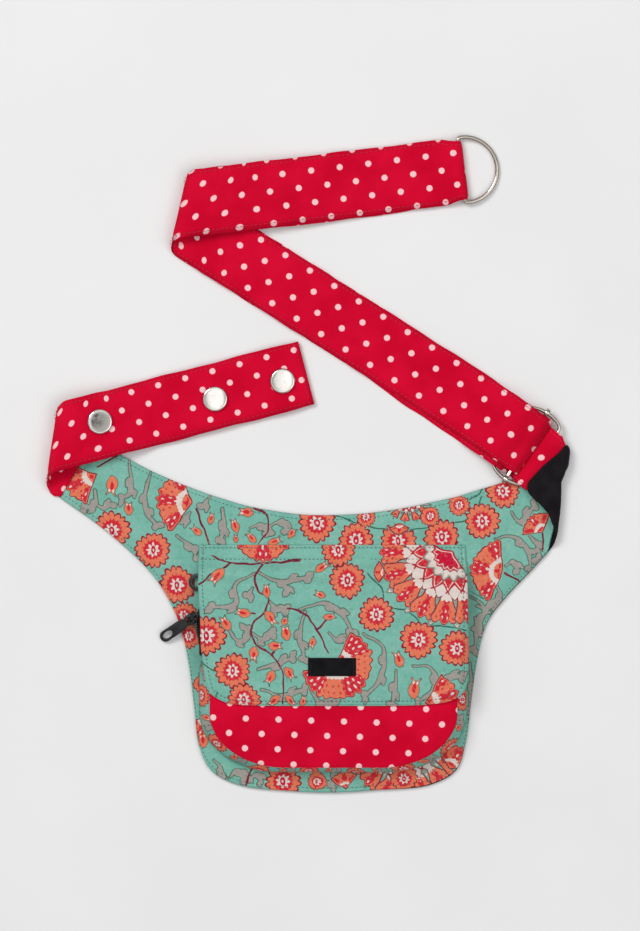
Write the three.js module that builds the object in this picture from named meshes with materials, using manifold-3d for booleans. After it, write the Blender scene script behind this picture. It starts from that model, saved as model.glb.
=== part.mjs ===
import * as THREE from "three";
import Module from "manifold-3d";

// A belt bag lying on its back: X to its right, Y up its front, Z up from the surface, in millimetres.

// Driving dimensions
const GAP = 0.3;
const PANEL = 1.2;
const WALL = 1.4;
const STRAP = 1.4;
const STRAP_HALF = 20;
const WIRE = 2.3;
const RING_WIRE = 2.7;
const BAR = 2.2;
const POCKET_DEPTH = 11;
const SNAP_CAP = 15.5;

// Heights of the layers above the surface
const FRONT_UNDER = PANEL + GAP;
const FRONT_OVER = FRONT_UNDER + PANEL;
const POCKET_FOOT = FRONT_OVER + GAP;
const POCKET_RIM = POCKET_FOOT + POCKET_DEPTH;
const POCKET_OVER = POCKET_RIM + GAP + WALL;
const DOME = 0.8;
const FLAP_REST = POCKET_OVER + DOME + GAP;
const LAYER = STRAP + GAP;

// Materials
const cloth = (color) => new THREE.MeshStandardMaterial({ color, roughness: 0.85 });
const metal = (color) => new THREE.MeshStandardMaterial({ color, roughness: 0.25, metalness: 1 });
const PRINT = cloth(0x7fbfae);
const RED = cloth(0xd00732);
const BLACK = cloth(0x1e1a1d);
const NICKEL = metal(0xc9c7c4);
const BLACK_METAL = metal(0x2d2d2d);

const group = new THREE.Group();
const wasm = await Module();
wasm.setup();

// Small helpers
const mix = THREE.MathUtils.lerp;
const ease = (part) => THREE.MathUtils.smoothstep(part, 0, 1);
const turn = (degrees) => THREE.MathUtils.degToRad(degrees);
const facing = (degrees) => new THREE.Vector2(Math.cos(turn(degrees)), Math.sin(turn(degrees)));
const count = (number) => Array.from({ length: number + 1 }, (_, step) => step / number);

function table(names, rows) {
  const columns = names.split(" ");
  return rows.map((row) => Object.fromEntries(columns.map((name, place) => [name, row[place]])));
}

// The value of one column of a table at a place along another, eased from row to row.
function read(rows, key, place, column) {
  const after = rows.findIndex((row) => row[key] >= place);
  if (after === 0) return rows[0][column];
  if (after < 0) return rows[rows.length - 1][column];
  const [low, high] = [rows[after - 1], rows[after]];
  return mix(low[column], high[column], ease((place - low[key]) / (high[key] - low[key])));
}

function volume(positions, index) {
  const corner = (place) => new THREE.Vector3().fromArray(positions, 3 * index[place]);
  let sum = 0;
  for (let first = 0; first < index.length; first += 3) {
    sum += corner(first).dot(corner(first + 1).cross(corner(first + 2)));
  }
  return sum / 6;
}

// A closed solid between an upper and a lower grid of points of the same size.
function sheet(upper, lower) {
  const rows = upper.length;
  const columns = upper[0].length;
  const positions = [upper, lower].flat(2).flatMap((point) => point.toArray());
  const place = (side, row, column) => (side * rows + row) * columns + column;
  const index = [];
  const quad = (a, b, c, d) => index.push(a, b, c, a, c, d);
  for (let row = 0; row < rows - 1; row += 1) {
    for (let column = 0; column < columns - 1; column += 1) {
      const corners = (side) => [
        place(side, row, column), place(side, row + 1, column),
        place(side, row + 1, column + 1), place(side, row, column + 1),
      ];
      quad(...corners(0));
      const [a, b, c, d] = corners(1);
      index.push(a, c, b, a, d, c);
    }
    const last = columns - 1;
    quad(place(0, row, 0), place(1, row, 0), place(1, row + 1, 0), place(0, row + 1, 0));
    quad(place(0, row, last), place(0, row + 1, last), place(1, row + 1, last), place(1, row, last));
  }
  for (let column = 0; column < columns - 1; column += 1) {
    const last = rows - 1;
    const next = column + 1;
    quad(place(0, 0, column), place(0, 0, next), place(1, 0, next), place(1, 0, column));
    quad(place(0, last, column), place(1, last, column), place(1, last, next), place(0, last, next));
  }
  if (volume(positions, index) < 0) index.reverse();
  const geometry = new THREE.BufferGeometry();
  geometry.setAttribute("position", new THREE.Float32BufferAttribute(positions, 3));
  geometry.setIndex(index);
  return geometry;
}

// Cloth past a fold's line goes round the roll and lies back over itself, slipping along the line.
function roll(point, fold) {
  const across = facing(fold.toward);
  const past = (point.x - fold.x) * across.x + (point.y - fold.y) * across.y;
  if (past <= 0) return point;
  const angle = Math.min(past / fold.radius, Math.PI);
  const arm = fold.axis - point.z;
  const reach = arm * Math.sin(angle) - (past - angle * fold.radius);
  const slip = fold.slip * ease(angle / Math.PI);
  const x = point.x + (reach - past) * across.x + slip * fold.along.x;
  const y = point.y + (reach - past) * across.y + slip * fold.along.y;
  return new THREE.Vector3(x, y, fold.axis - arm * Math.cos(angle));
}

const geometryOf = (solid) => {
  const mesh = solid.getMesh();
  const geometry = new THREE.BufferGeometry();
  geometry.setAttribute("position", new THREE.Float32BufferAttribute(Array.from(mesh.vertProperties), 3));
  geometry.setIndex(Array.from(mesh.triVerts));
  return geometry;
};

// Corners that share a place become one, as a solid needs.
function solidOf(geometry) {
  const source = geometry.getAttribute("position");
  const inOrder = () => count(source.count - 1).map((_, place) => place);
  const order = geometry.index ? Array.from(geometry.index.array) : inOrder();
  const known = new Map();
  const vertices = [];
  const triangles = order.map((place) => {
    const corner = [source.getX(place), source.getY(place), source.getZ(place)];
    const key = corner.map((value) => Math.round(value * 1e4)).join(" ");
    if (!known.has(key)) {
      known.set(key, known.size);
      vertices.push(...corner);
    }
    return known.get(key);
  });
  const kept = [];
  for (let first = 0; first < triangles.length; first += 3) {
    const [a, b, c] = triangles.slice(first, first + 3);
    if (a !== b && b !== c && c !== a) kept.push(a, b, c);
  }
  return new wasm.Manifold(new wasm.Mesh({
    numProp: 3,
    vertProperties: new Float32Array(vertices),
    triVerts: new Uint32Array(kept),
  }));
}

function add(name, geometry, material, parent = group) {
  const mesh = new THREE.Mesh(geometry, material);
  mesh.name = name;
  parent.add(mesh);
  return mesh;
}

// Body: two panels of one outline, given by lines from its top edge to its lower edge, left to right.
const BODY_LINES = table("topX topY lowX lowY steps", [
  [-131.5, 11.5, -150.5, -20.6, 1],
  [-114.5, 5.5, -126.7, -37.6, 2],
  [-96, -4, -102.4, -58.8, 2],
  [-82, -10.2, -90.3, -73.3, 2],
  [-70, -15, -79.4, -94.5, 2],
  [-60, -18.6, -73.3, -118.8, 2],
  [-50, -21.8, -69.5, -148, 2],
  [-42, -24.2, -66.7, -170.3, 2],
  [-34, -26.2, -59.4, -185.5, 2],
  [-24, -28, -43, -194.2, 2],
  [-5, -30.6, -10, -198.2, 2],
  [14.5, -31, 14.5, -199, 2],
  [34, -30, 40, -197.6, 2],
  [52, -27.7, 73, -194.5, 2],
  [62, -25.9, 89.1, -185.5, 2],
  [70, -24.2, 95, -168, 2],
  [79, -22.3, 98, -146, 2],
  [90, -19.8, 102.4, -115.8, 2],
  [102, -16, 108, -96, 2],
  [115, -12, 120, -80, 2],
  [131, -6.6, 131, -68.4, 2],
  [146, 3.6, 140.5, -58.9, 2],
  [151.2, 7.4, 146, -53.3, 2],
  [157.1, 11.3, 151, -48, 4],
  [162, 4.1, 157.5, -40.8, 4],
  [174.8, -14.9, 176, -19.6, 3],
]);
const BODY_ACROSS = 5;
const WING_FOLD = {
  x: 149.5, y: -9.7, toward: -5.4, along: facing(84.6),
  axis: FRONT_OVER + 1.8, radius: 3.6, slip: 0,
};

function bodyGrid(height) {
  const edge = (x, y) => {
    const points = BODY_LINES.map((row) => new THREE.Vector3(row[x], row[y], 0));
    return new THREE.CatmullRomCurve3(points);
  };
  const top = edge("topX", "topY");
  const low = edge("lowX", "lowY");
  const places = BODY_LINES.flatMap((row, line) => (line === 0 ? [0]
    : count(row.steps).slice(1).map((part) => (line - 1 + part) / (BODY_LINES.length - 1))));
  return places.map((place) => {
    const from = top.getPoint(place);
    const to = low.getPoint(place);
    return count(BODY_ACROSS).map((part) => {
      const flat = from.clone().lerp(to, part).setZ(height);
      return roll(flat, WING_FOLD);
    });
  });
}
add("back_panel", sheet(bodyGrid(PANEL), bodyGrid(0)), BLACK);
add("front_panel", sheet(bodyGrid(FRONT_OVER), bodyGrid(FRONT_UNDER)), PRINT);

// Pocket: an outline at its foot and one at its rim, from the right end of its mouth round to the left.
const FOOT = {
  left: -66.5, right: 95.6, low: -186.4, high: -80.6,
  lowCorner: { wide: 48, tall: 36 }, highCorner: { wide: 14, tall: 14 },
};
const RIM = {
  left: -60, right: 89.7, low: -183.5, high: -83.5,
  lowCorner: { wide: 46, tall: 33 }, highCorner: { wide: 12, tall: 12 },
};
const RING_STEPS = { high: 10, highCorner: 5, side: 8, lowCorner: 7, low: 8 };
const BULGE = 1.2;

function ringOutline(box) {
  const points = [];
  const straight = (x0, y0, x1, y1, steps) => count(steps).slice(0, -1)
    .forEach((part) => points.push(new THREE.Vector2(mix(x0, x1, part), mix(y0, y1, part))));
  const corner = (x, y, { wide, tall }, start, steps) => count(steps).slice(0, -1).forEach((part) => {
    const arm = facing(start + 90 * part);
    points.push(new THREE.Vector2(x + wide * arm.x, y + tall * arm.y));
  });
  const { left, right, low, high, lowCorner, highCorner } = box;
  const innerLeft = left + highCorner.wide;
  const innerRight = right - highCorner.wide;
  const lowLeft = left + lowCorner.wide;
  const lowRight = right - lowCorner.wide;
  const innerHigh = high - highCorner.tall;
  const innerLow = low + lowCorner.tall;
  straight(innerRight, high, innerLeft, high, RING_STEPS.high);
  corner(innerLeft, innerHigh, highCorner, 90, RING_STEPS.highCorner);
  straight(left, innerHigh, left, innerLow, RING_STEPS.side);
  corner(lowLeft, innerLow, lowCorner, 180, RING_STEPS.lowCorner);
  straight(lowLeft, low, lowRight, low, RING_STEPS.low);
  corner(lowRight, innerLow, lowCorner, 270, RING_STEPS.lowCorner);
  straight(right, innerLow, right, innerHigh, RING_STEPS.side);
  corner(innerRight, innerHigh, highCorner, 0, RING_STEPS.highCorner);
  return points;
}
const footRing = ringOutline(FOOT);
const rimRing = ringOutline(RIM);

// A point of the pocket's wall: a place round it, a part of its height, and a step outward.
function wallPoint(place, part, out) {
  const size = footRing.length;
  const before = footRing[(place + size - 1) % size];
  const after = footRing[(place + 1) % size];
  const along = after.clone().sub(before).normalize();
  const outward = new THREE.Vector2(along.y, -along.x);
  const flat = footRing[place % size].clone().lerp(rimRing[place % size], part);
  flat.addScaledVector(outward, BULGE * Math.sin(Math.PI * part) + out);
  return new THREE.Vector3(flat.x, flat.y, mix(POCKET_FOOT, POCKET_RIM, part));
}

function wallBand(first, last, low, high, inner, outer, steps) {
  const face = (out) => Array.from({ length: last - first + 1 }, (_, step) => {
    const place = first + step;
    return count(steps).map((part) => wallPoint(place, mix(low(place), high(place), part), out));
  });
  return sheet(face(outer), face(inner));
}
const ZIP_STOP = RING_STEPS.high + RING_STEPS.highCorner + 3;
const ZIP_SLIDER_PLACE = ZIP_STOP - 1;
const RING_END = footRing.length;
add("pocket_gusset", wallBand(ZIP_STOP + 1, RING_END - 1, () => 0, () => 1, -WALL, 0, 3), PRINT);

// The zip's two tapes stand apart along the open mouth and meet below the slider.
const TAPE_OPEN = 0.22;
const TAPE_MEET = 0.485;
const meet = (place) => ease((place - ZIP_SLIDER_PLACE + 3) / 3);
const baseTop = (place) => mix(TAPE_OPEN, TAPE_MEET, meet(place));
add("pocket_zip_tape_base", wallBand(0, ZIP_STOP, () => 0, baseTop, -1, 0, 1), BLACK);
add("pocket_zip_tape_front", wallBand(0, ZIP_STOP, (place) => 1 - baseTop(place), () => 1, -1, 0, 1), BLACK);

// A panel between a left and a right edge, read from a table down its length, with its own height.
function panel(rows, steps, across, height, thick) {
  const lines = rows.flatMap((row, line) => (line === 0 ? [row.y]
    : count(steps).slice(1).map((part) => mix(rows[line - 1].y, row.y, part))));
  const edge = (column, y) => {
    const after = Math.max(1, rows.findIndex((row) => row.y <= y));
    const part = (y - rows[after - 1].y) / (rows[after].y - rows[after - 1].y);
    return mix(rows[after - 1][column], rows[after][column], part);
  };
  const grid = (lift) => lines.map((y) => count(across).map((part) => {
    const x = mix(edge("left", y), edge("right", y), part);
    return new THREE.Vector3(x, y, height(x, y) + lift);
  }));
  return sheet(grid(thick), grid(0));
}

// Pocket front: the rim's outline, a little domed
const CORNER_STEPS = 6;
const cornerRows = ({ wide, tall }, y, start) => count(CORNER_STEPS).map((part) => {
  const arm = facing(start - 90 * part);
  const inset = wide * (1 - arm.x);
  return { y: y + tall * arm.y, left: RIM.left + inset, right: RIM.right - inset };
});
const rimRows = [
  ...cornerRows(RIM.highCorner, RIM.high - RIM.highCorner.tall, 90),
  ...cornerRows(RIM.lowCorner, RIM.low + RIM.lowCorner.tall, 0),
];
const domeAt = (x, y) => {
  const acrossPart = (x - RIM.left) / (RIM.right - RIM.left);
  const downPart = (y - RIM.low) / (RIM.high - RIM.low);
  return DOME * Math.sin(Math.PI * acrossPart) * Math.sin(Math.PI * downPart);
};
add("pocket_front", panel(rimRows, 1, 8, (x, y) => POCKET_RIM + GAP + domeAt(x, y), WALL), RED);

// Flap: sewn flat above the pocket, rising over the mouth, lying on the pocket's front
const FLAP_EDGES = table("y left right", [
  [-49, -66.5, 94.5],
  [-58, -67, 95.2],
  [-66, -67, 95.6],
  [-74, -67, 95.8],
  [-82, -67, 96],
  [-94, -66.6, 96.2],
  [-107, -66, 96.4],
  [-125, -63.5, 96.4],
  [-133, -61.8, 95.4],
  [-138, -60, 93.3],
  [-143, -52.7, 85.5],
  [-145.2, -44, 72],
  [-146, -20, 50],
]);
const FLAP_RISE = table("down height", [
  [0, POCKET_FOOT],
  [9, POCKET_FOOT],
  [17, 8],
  [25, 13.2],
  [33, FLAP_REST - 0.4],
  [42, FLAP_REST],
  [97, FLAP_REST],
]);
const FLAP_DROOP = 2;
const FLAP_DROOP_RUN = 6.5;
const FLAP_LIFT = { from: 20, to: 45 };
function flapHeight(x, y) {
  const down = FLAP_EDGES[0].y - y;
  const rise = read(FLAP_RISE, "down", down, "height");
  const beyond = Math.max(RIM.left - x, x - RIM.right, 0) / FLAP_DROOP_RUN;
  const lifted = THREE.MathUtils.smoothstep(down, FLAP_LIFT.from, FLAP_LIFT.to);
  return rise - lifted * FLAP_DROOP * beyond * beyond;
}
add("flap", panel(FLAP_EDGES, 1, 12, flapHeight, WALL), PRINT);

// Label: a plain woven tag on the flap
const LABEL = { left: -0.6, right: 28.4, high: -117, low: -128, thick: 0.6 };
const labelRows = [LABEL.high, LABEL.low].map((y) => ({ y, left: LABEL.left, right: LABEL.right }));
add("label", panel(labelRows, 2, 4, (x, y) => flapHeight(x, y) + WALL + GAP, LABEL.thick), BLACK);

// Zip sliders and pulls: a slider's bail is round the axis on which its pull swings.
const BAIL = { radius: 2.2, wire: 0.6, dip: 30, steps: 12, sides: 6 };
const SLIDER = { length: 6.4, width: 6.6, thick: 1.5, under: 3.6, neck: 1.3 };
const PULL = { thick: 1.4, eyeWidth: 5.2, eyeHole: 1.4, eyeFrom: 0.7, eyeTo: 4, neckEnd: 5.5, shoulder: 8.5 };

class Arch extends THREE.Curve {
  getPoint(part) {
    const angle = mix(-BAIL.dip, 180 + BAIL.dip, part);
    const spot = facing(angle).multiplyScalar(BAIL.radius);
    return new THREE.Vector3(spot.x, 0, spot.y);
  }
}
const roundSection = (radius, sides) => new THREE.Shape(
  count(sides).slice(0, -1).map((part) => facing(360 * part).multiplyScalar(radius)),
);

function slider() {
  const arch = new THREE.ExtrudeGeometry(roundSection(BAIL.wire, BAIL.sides), {
    steps: BAIL.steps, extrudePath: new Arch(),
  });
  const body = new THREE.BoxGeometry(SLIDER.length, SLIDER.width, SLIDER.thick);
  body.translate(0, 0, SLIDER.thick / 2 - SLIDER.under);
  const neckTall = SLIDER.under - SLIDER.neck;
  const foot = new THREE.BoxGeometry(2 * BAIL.radius + 2 * BAIL.wire, 2 * BAIL.wire, neckTall);
  foot.translate(0, 0, neckTall / 2 - SLIDER.under);
  return geometryOf(solidOf(arch).add(solidOf(body)).add(solidOf(foot)));
}

function pull({ length, width, hole }) {
  const end = width / 2;
  const shape = new THREE.Shape();
  shape.moveTo(-PULL.eyeFrom, -PULL.eyeWidth / 2);
  shape.lineTo(PULL.neckEnd, -PULL.eyeWidth / 2);
  shape.lineTo(PULL.shoulder, -end);
  shape.absarc(length - end, 0, end, -Math.PI / 2, Math.PI / 2);
  shape.lineTo(PULL.shoulder, end);
  shape.lineTo(PULL.neckEnd, PULL.eyeWidth / 2);
  shape.lineTo(-PULL.eyeFrom, PULL.eyeWidth / 2);
  const eye = new THREE.Path();
  eye.moveTo(PULL.eyeFrom, -PULL.eyeHole);
  eye.lineTo(PULL.eyeTo, -PULL.eyeHole);
  eye.lineTo(PULL.eyeTo, PULL.eyeHole);
  eye.lineTo(PULL.eyeFrom, PULL.eyeHole);
  const oval = new THREE.Path();
  oval.absellipse(length - hole.back, 0, hole.long / 2, hole.wide / 2, 0, 2 * Math.PI);
  shape.holes.push(eye, oval);
  const shaping = { depth: PULL.thick, bevelEnabled: false, curveSegments: 8 };
  const plate = new THREE.ExtrudeGeometry(shape, shaping);
  return plate.translate(0, 0, -PULL.thick / 2);
}

function zipPull(prefix, seat, shape) {
  const place = new THREE.Group();
  place.position.set(seat.x, seat.y, seat.z);
  place.rotation.z = turn(seat.toward);
  group.add(place);
  add(`${prefix}_slider`, slider(), BLACK_METAL, place);
  const hanging = new THREE.Group();
  hanging.rotation.y = turn(seat.drop);
  place.add(hanging);
  add(`${prefix}_pull`, shape, BLACK_METAL, hanging);
}
const POCKET_PULL = { x: -70.6, y: -93.2, z: 8.2, toward: 214, drop: 17 };
const POCKET_PULL_SIZE = { length: 24, width: 7, hole: { back: 5.2, long: 7.2, wide: 3.8 } };
const BODY_PULL = { x: -54, y: -71.5, z: 8, toward: 180, drop: 13 };
const BODY_PULL_SIZE = { length: 19.2, width: 10.4, hole: { back: 5.2, long: 6.2, wide: 5.4 } };
zipPull("pocket_zip", POCKET_PULL, pull(POCKET_PULL_SIZE));
zipPull("body_zip", BODY_PULL, pull(BODY_PULL_SIZE));

// Zip of the flat compartment, closed, under the flap
const BODY_TAPE = { left: -60, right: 92, high: -66, low: -77, thick: 1 };
const { left: tapeLeft, right: tapeRight } = BODY_TAPE;
const bodyTapeRows = [BODY_TAPE.high, BODY_TAPE.low].map((y) => ({ y, left: tapeLeft, right: tapeRight }));
add("body_zip_tape", panel(bodyTapeRows, 1, 1, () => POCKET_FOOT, BODY_TAPE.thick), BLACK);

// Straps: a side view along the strap's length, carried across its width, then folded over.
function fillIn(rows) {
  const filled = [rows[0]];
  rows.slice(1).forEach((row, before) => {
    const last = rows[before];
    count(row.steps).slice(1).forEach((part) => filled.push({
      along: mix(last.along, row.along, part),
      height: mix(last.height, row.height, ease(part)),
      shift: mix(last.shift, row.shift, ease(part)),
      half: mix(last.half, row.half, ease(part)),
    }));
  });
  return filled;
}

function strapPoint(strap, along, across, height) {
  const ahead = facing(strap.toward);
  const skewed = along + across * read(strap.skew, "along", along, "skew");
  const x = strap.x + skewed * ahead.x - across * ahead.y;
  const y = strap.y + skewed * ahead.y + across * ahead.x;
  return roll(new THREE.Vector3(x, y, height), strap.fold);
}

function strapSolid(strap, stations, steps) {
  const face = (side) => stations.map((station, place) => {
    const before = stations[Math.max(0, place - 1)];
    const after = stations[Math.min(stations.length - 1, place + 1)];
    const along = new THREE.Vector2(after.along - before.along, after.height - before.height).normalize();
    const step = (side * STRAP) / 2;
    return count(steps).map((part) => strapPoint(
      strap,
      station.along - along.y * step,
      station.shift + mix(-station.half, station.half, part),
      station.height + along.x * step,
    ));
  });
  return sheet(face(1), face(-1));
}

// The places of a strap as it goes round a bar
function roundBar(bar, reach, from, to, steps, shift, half) {
  return count(steps).map((part) => {
    const spot = facing(mix(from, to, part)).multiplyScalar(reach);
    return { along: bar.along + spot.x, height: bar.height + spot.y, shift, half };
  });
}

// Snap strap: sewn to the left wing's end, looped back over it
const SNAP_FOLD = {
  x: -151.7, y: 1.8, toward: 172.1, along: facing(82.1),
  axis: 6.2, radius: 5.2, slip: 8.6,
};
const SNAP_STRAP = {
  x: -140.9, y: -4.5, toward: 149.7, fold: SNAP_FOLD,
  skew: table("along skew", [[0.4, 0], [14, -0.4], [36, -0.4], [70, 0]]),
};
const SNAP_OVER = 2 * SNAP_FOLD.axis;
const SNAP_EXIT = 30;
const snapRows = table("along height shift half steps", [
  [0.4, 1.35, 0, 18.4, 1],
  [11, 1, 0, 20, 3],
  [SNAP_EXIT, 1, 0, 20, 10],
  [SNAP_EXIT + 24, SNAP_OVER - 8.6, 0, 20, 4],
  [SNAP_EXIT + 60, SNAP_OVER - 2.6, 0, 20, 6],
  [SNAP_EXIT + 95.5, SNAP_OVER - 3.6, 0, 20, 5],
  [SNAP_EXIT + 117, SNAP_OVER - 2.4, 0, 20, 3],
  [SNAP_EXIT + 137.8, SNAP_OVER - 3.6, 0, 20, 3],
  [SNAP_EXIT + 153, SNAP_OVER - 2.8, 0, 20, 2],
]);
const snapStations = fillIn(snapRows);
const SNAPS = table("name along across", [
  ["snap_1", SNAP_EXIT + 24.1, -2.6],
  ["snap_2", SNAP_EXIT + 95.5, 1.5],
  ["snap_3", SNAP_EXIT + 137.8, 1.2],
]);
const SNAP_POST = 2.2;
const SNAP_SOCKET = { radius: 5, deep: 2.4, corner: 0.8 };
const SNAP_CAP_EDGE = table("inset rise", [[0.5, 0], [0, 0.5], [0.6, 1.2], [2.4, 1.7], [SNAP_CAP / 4, 2]]);
const ROUND = 16;

function snap() {
  const over = STRAP / 2 + GAP;
  const cap = SNAP_CAP / 2;
  const { radius, deep, corner } = SNAP_SOCKET;
  const crown = SNAP_CAP_EDGE.map((row) => [cap - row.inset, over + row.rise]);
  const top = SNAP_CAP_EDGE[SNAP_CAP_EDGE.length - 1].rise;
  const profile = [
    [0, -over - deep], [radius - corner, -over - deep], [radius, -over - deep + corner], [radius, -over],
    [SNAP_POST, -over], [SNAP_POST, over], ...crown, [0, over + top],
  ].map(([out, height]) => new THREE.Vector2(out, height));
  return new THREE.LatheGeometry(profile, ROUND).rotateX(Math.PI / 2);
}
const SNAP_LEVEL = 6;

let snapStrap = solidOf(strapSolid(SNAP_STRAP, snapStations, 5));
SNAPS.forEach((row) => {
  const height = (along) => read(snapStations, "along", along, "height");
  const spot = (along, across) => strapPoint(SNAP_STRAP, along, across, height(along));
  const seat = spot(row.along, row.across);
  const ahead = spot(row.along + SNAP_LEVEL, row.across).sub(spot(row.along - SNAP_LEVEL, row.across));
  const side = spot(row.along, row.across - SNAP_LEVEL).sub(spot(row.along, row.across + SNAP_LEVEL));
  const up = ahead.clone().cross(side).normalize();
  const place = new THREE.Group();
  place.position.copy(seat);
  place.quaternion.setFromUnitVectors(new THREE.Vector3(0, 0, 1), up);
  place.updateMatrix();
  group.add(place);
  add(row.name, snap(), NICKEL, place);
  const hole = new THREE.CylinderGeometry(SNAP_POST + GAP, SNAP_POST + GAP, 4 * STRAP, ROUND);
  hole.rotateX(Math.PI / 2).applyMatrix4(place.matrix);
  snapStrap = snapStrap.subtract(solidOf(hole));
});
add("snap_strap", geometryOf(snapStrap), RED);

// Adjustable strap: from the right wing through the slide, out to the D-ring and back round the slide's bar
const SLIDE = { x: 131.5, y: 10.9, height: 5.7 };
const SIDE_BAR = 12;
const WING_SEAM = -16.7;
const FOLD_START = 247.4;
const RING_AT = 426.4;
const RING_HEIGHT = 3.3;
const RING_HALF = 17.8;
const FOLD_LINE = 77.4;
const STRAP_TOWARD = 147.8;
const strapAhead = facing(STRAP_TOWARD);
const strapStart = new THREE.Vector2(133.8, 14.5);
const foldSpot = strapStart.clone().addScaledVector(strapAhead, FOLD_START);
const ADJUST_FOLD = {
  x: foldSpot.x, y: foldSpot.y, toward: FOLD_LINE + 90, along: facing(FOLD_LINE),
  axis: STRAP + LAYER + 2.4, radius: 3.9, slip: 7.2,
};
const ADJUST_STRAP = {
  x: strapStart.x, y: strapStart.y, toward: STRAP_TOWARD, fold: ADJUST_FOLD,
  skew: table("along skew", [
    [WING_SEAM, 0.178], [0, 0], [205, 0], [238, -0.357], [276, -0.357], [312, 0], [RING_AT, 0],
  ]),
};
const over = (height) => 2 * ADJUST_FOLD.axis - height;
const LOW = STRAP / 2;
const UNDER_BAR = SLIDE.height - BAR / 2 - STRAP - 2 * GAP - LOW;
const OVER_SIDE = SLIDE.height + WIRE / 2 + 2 * GAP + LOW;
const BAR_REACH = BAR / 2 + GAP + LOW;
const RING_REACH = RING_WIRE / 2 + GAP + LOW;
const SEWN_END = 22;
const SEWN_SHIFT = 2.4;
const SEWN_HALF = 19.3;
const outRows = table("along height shift half steps", [
  [WING_SEAM + 0.9, 7.65, 8, 17.6, 1],
  [-SIDE_BAR, OVER_SIDE, 7, 19.4, 2],
  [0, UNDER_BAR, 5, 20, 6],
  [SIDE_BAR, OVER_SIDE, 4.6, 20, 6],
  [SEWN_END, 5, 4, 20, 3],
  [40, LOW, 3.6, 20, 5],
  [70, LOW, 2.4, 20, 1],
  [119, LOW, 0, 20, 2],
  [205, LOW, 0, 20, 2],
  [238, LOW, 0, 20, 3],
  [263, LOW, 0, 20, 10],
  [310, over(6.5), 0, 20, 6],
  [372, over(LAYER + LOW), 0, 20, 6],
  [RING_AT - 12, over(LAYER + LOW), 0, 20, 2],
  [RING_AT - 1.5, over(RING_HEIGHT + RING_REACH), 0, RING_HALF, 4],
]);
const backRows = table("along height shift half steps", [
  [RING_AT - 1.5, over(RING_HEIGHT - RING_REACH), 0, RING_HALF, 1],
  [RING_AT - 12, over(LOW), 0, 18.8, 3],
  [372, over(LOW), 1.2, 20, 2],
  [310, over(6.5 - LAYER), 1, 20, 6],
  [263, LOW + LAYER, 0, 20, 6],
  [238, LOW + LAYER, 0, 20, 10],
  [205, LOW + LAYER, 0, 20, 3],
  [119, LOW + LAYER, 0, 20, 2],
  [70, LOW + LAYER, 0, 20, 2],
  [40, LOW + LAYER, 0.6, 20, 1],
  [SEWN_END, 5 + 2 * LAYER, 1.2, 20, 5],
  [SIDE_BAR, OVER_SIDE + 2 * LAYER, 1.8, 20, 3],
  [1.5, SLIDE.height + BAR_REACH, SEWN_SHIFT, SEWN_HALF, 5],
]);
const outStations = fillIn(outRows);
const SEWN_PLACES = [3, 6, 9, SIDE_BAR, 17, SEWN_END];
const sewnStations = SEWN_PLACES.map((along) => {
  const height = read(outStations, "along", along, "height") + LAYER;
  return { along, height, shift: SEWN_SHIFT, half: SEWN_HALF };
});
const ringBar = { along: RING_AT, height: over(RING_HEIGHT) };
const slideBar = { along: 0, height: SLIDE.height };
const adjustStations = [
  ...outStations,
  ...roundBar(ringBar, RING_REACH, -90, 90, 8, 0, RING_HALF),
  ...fillIn(backRows),
  ...roundBar(slideBar, BAR_REACH, 90, 270, 8, SEWN_SHIFT, SEWN_HALF),
  ...sewnStations,
];
add("adjust_strap", strapSolid(ADJUST_STRAP, adjustStations, 3), RED);

// Wire pieces
function wireLoop(outline, wire, steps, sides) {
  const spots = outline.getSpacedPoints(steps).slice(0, -1);
  const points = spots.map((spot) => new THREE.Vector3(spot.x, spot.y, 0));
  return new THREE.TubeGeometry(new THREE.CatmullRomCurve3(points, true), steps, wire / 2, sides, true);
}
const RING = { half: 19.9, bow: 2.5, corner: 2.2, steps: 48, sides: 8 };
const ringOutlinePath = new THREE.Path();
ringOutlinePath.moveTo(0, RING.corner - RING.half);
ringOutlinePath.lineTo(0, RING.half - RING.corner);
ringOutlinePath.quadraticCurveTo(0, RING.half, RING.bow, RING.half);
ringOutlinePath.absarc(RING.bow, 0, RING.half, Math.PI / 2, -Math.PI / 2, true);
ringOutlinePath.quadraticCurveTo(0, -RING.half, 0, RING.corner - RING.half);
const ringSeat = strapPoint(ADJUST_STRAP, RING_AT, 0, over(RING_HEIGHT));
const ringPlace = new THREE.Group();
ringPlace.position.copy(ringSeat);
ringPlace.rotation.z = turn(2 * FOLD_LINE - STRAP_TOWARD);
const ringTilt = new THREE.Group();
ringTilt.rotation.y = Math.asin((RING_HEIGHT - RING_WIRE / 2) / (RING.bow + RING.half));
ringPlace.add(ringTilt);
group.add(ringPlace);
add("d_ring", wireLoop(ringOutlinePath, RING_WIRE, RING.steps, RING.sides), NICKEL, ringTilt);

const FRAME = { half: 17.4, corner: 20.8, shoulder: 8.5, shoulderAt: 22.1, end: 23.7, steps: 48, sides: 8 };
const framePath = new THREE.Path();
framePath.moveTo(SIDE_BAR, -FRAME.half);
framePath.lineTo(SIDE_BAR, FRAME.half);
framePath.quadraticCurveTo(SIDE_BAR, FRAME.corner, FRAME.shoulder, FRAME.shoulderAt);
framePath.quadraticCurveTo(0, 2 * FRAME.end - FRAME.shoulderAt, -FRAME.shoulder, FRAME.shoulderAt);
framePath.quadraticCurveTo(-SIDE_BAR, FRAME.corner, -SIDE_BAR, FRAME.half);
framePath.lineTo(-SIDE_BAR, -FRAME.half);
framePath.quadraticCurveTo(-SIDE_BAR, -FRAME.corner, -FRAME.shoulder, -FRAME.shoulderAt);
framePath.quadraticCurveTo(0, FRAME.shoulderAt - 2 * FRAME.end, FRAME.shoulder, -FRAME.shoulderAt);
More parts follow.
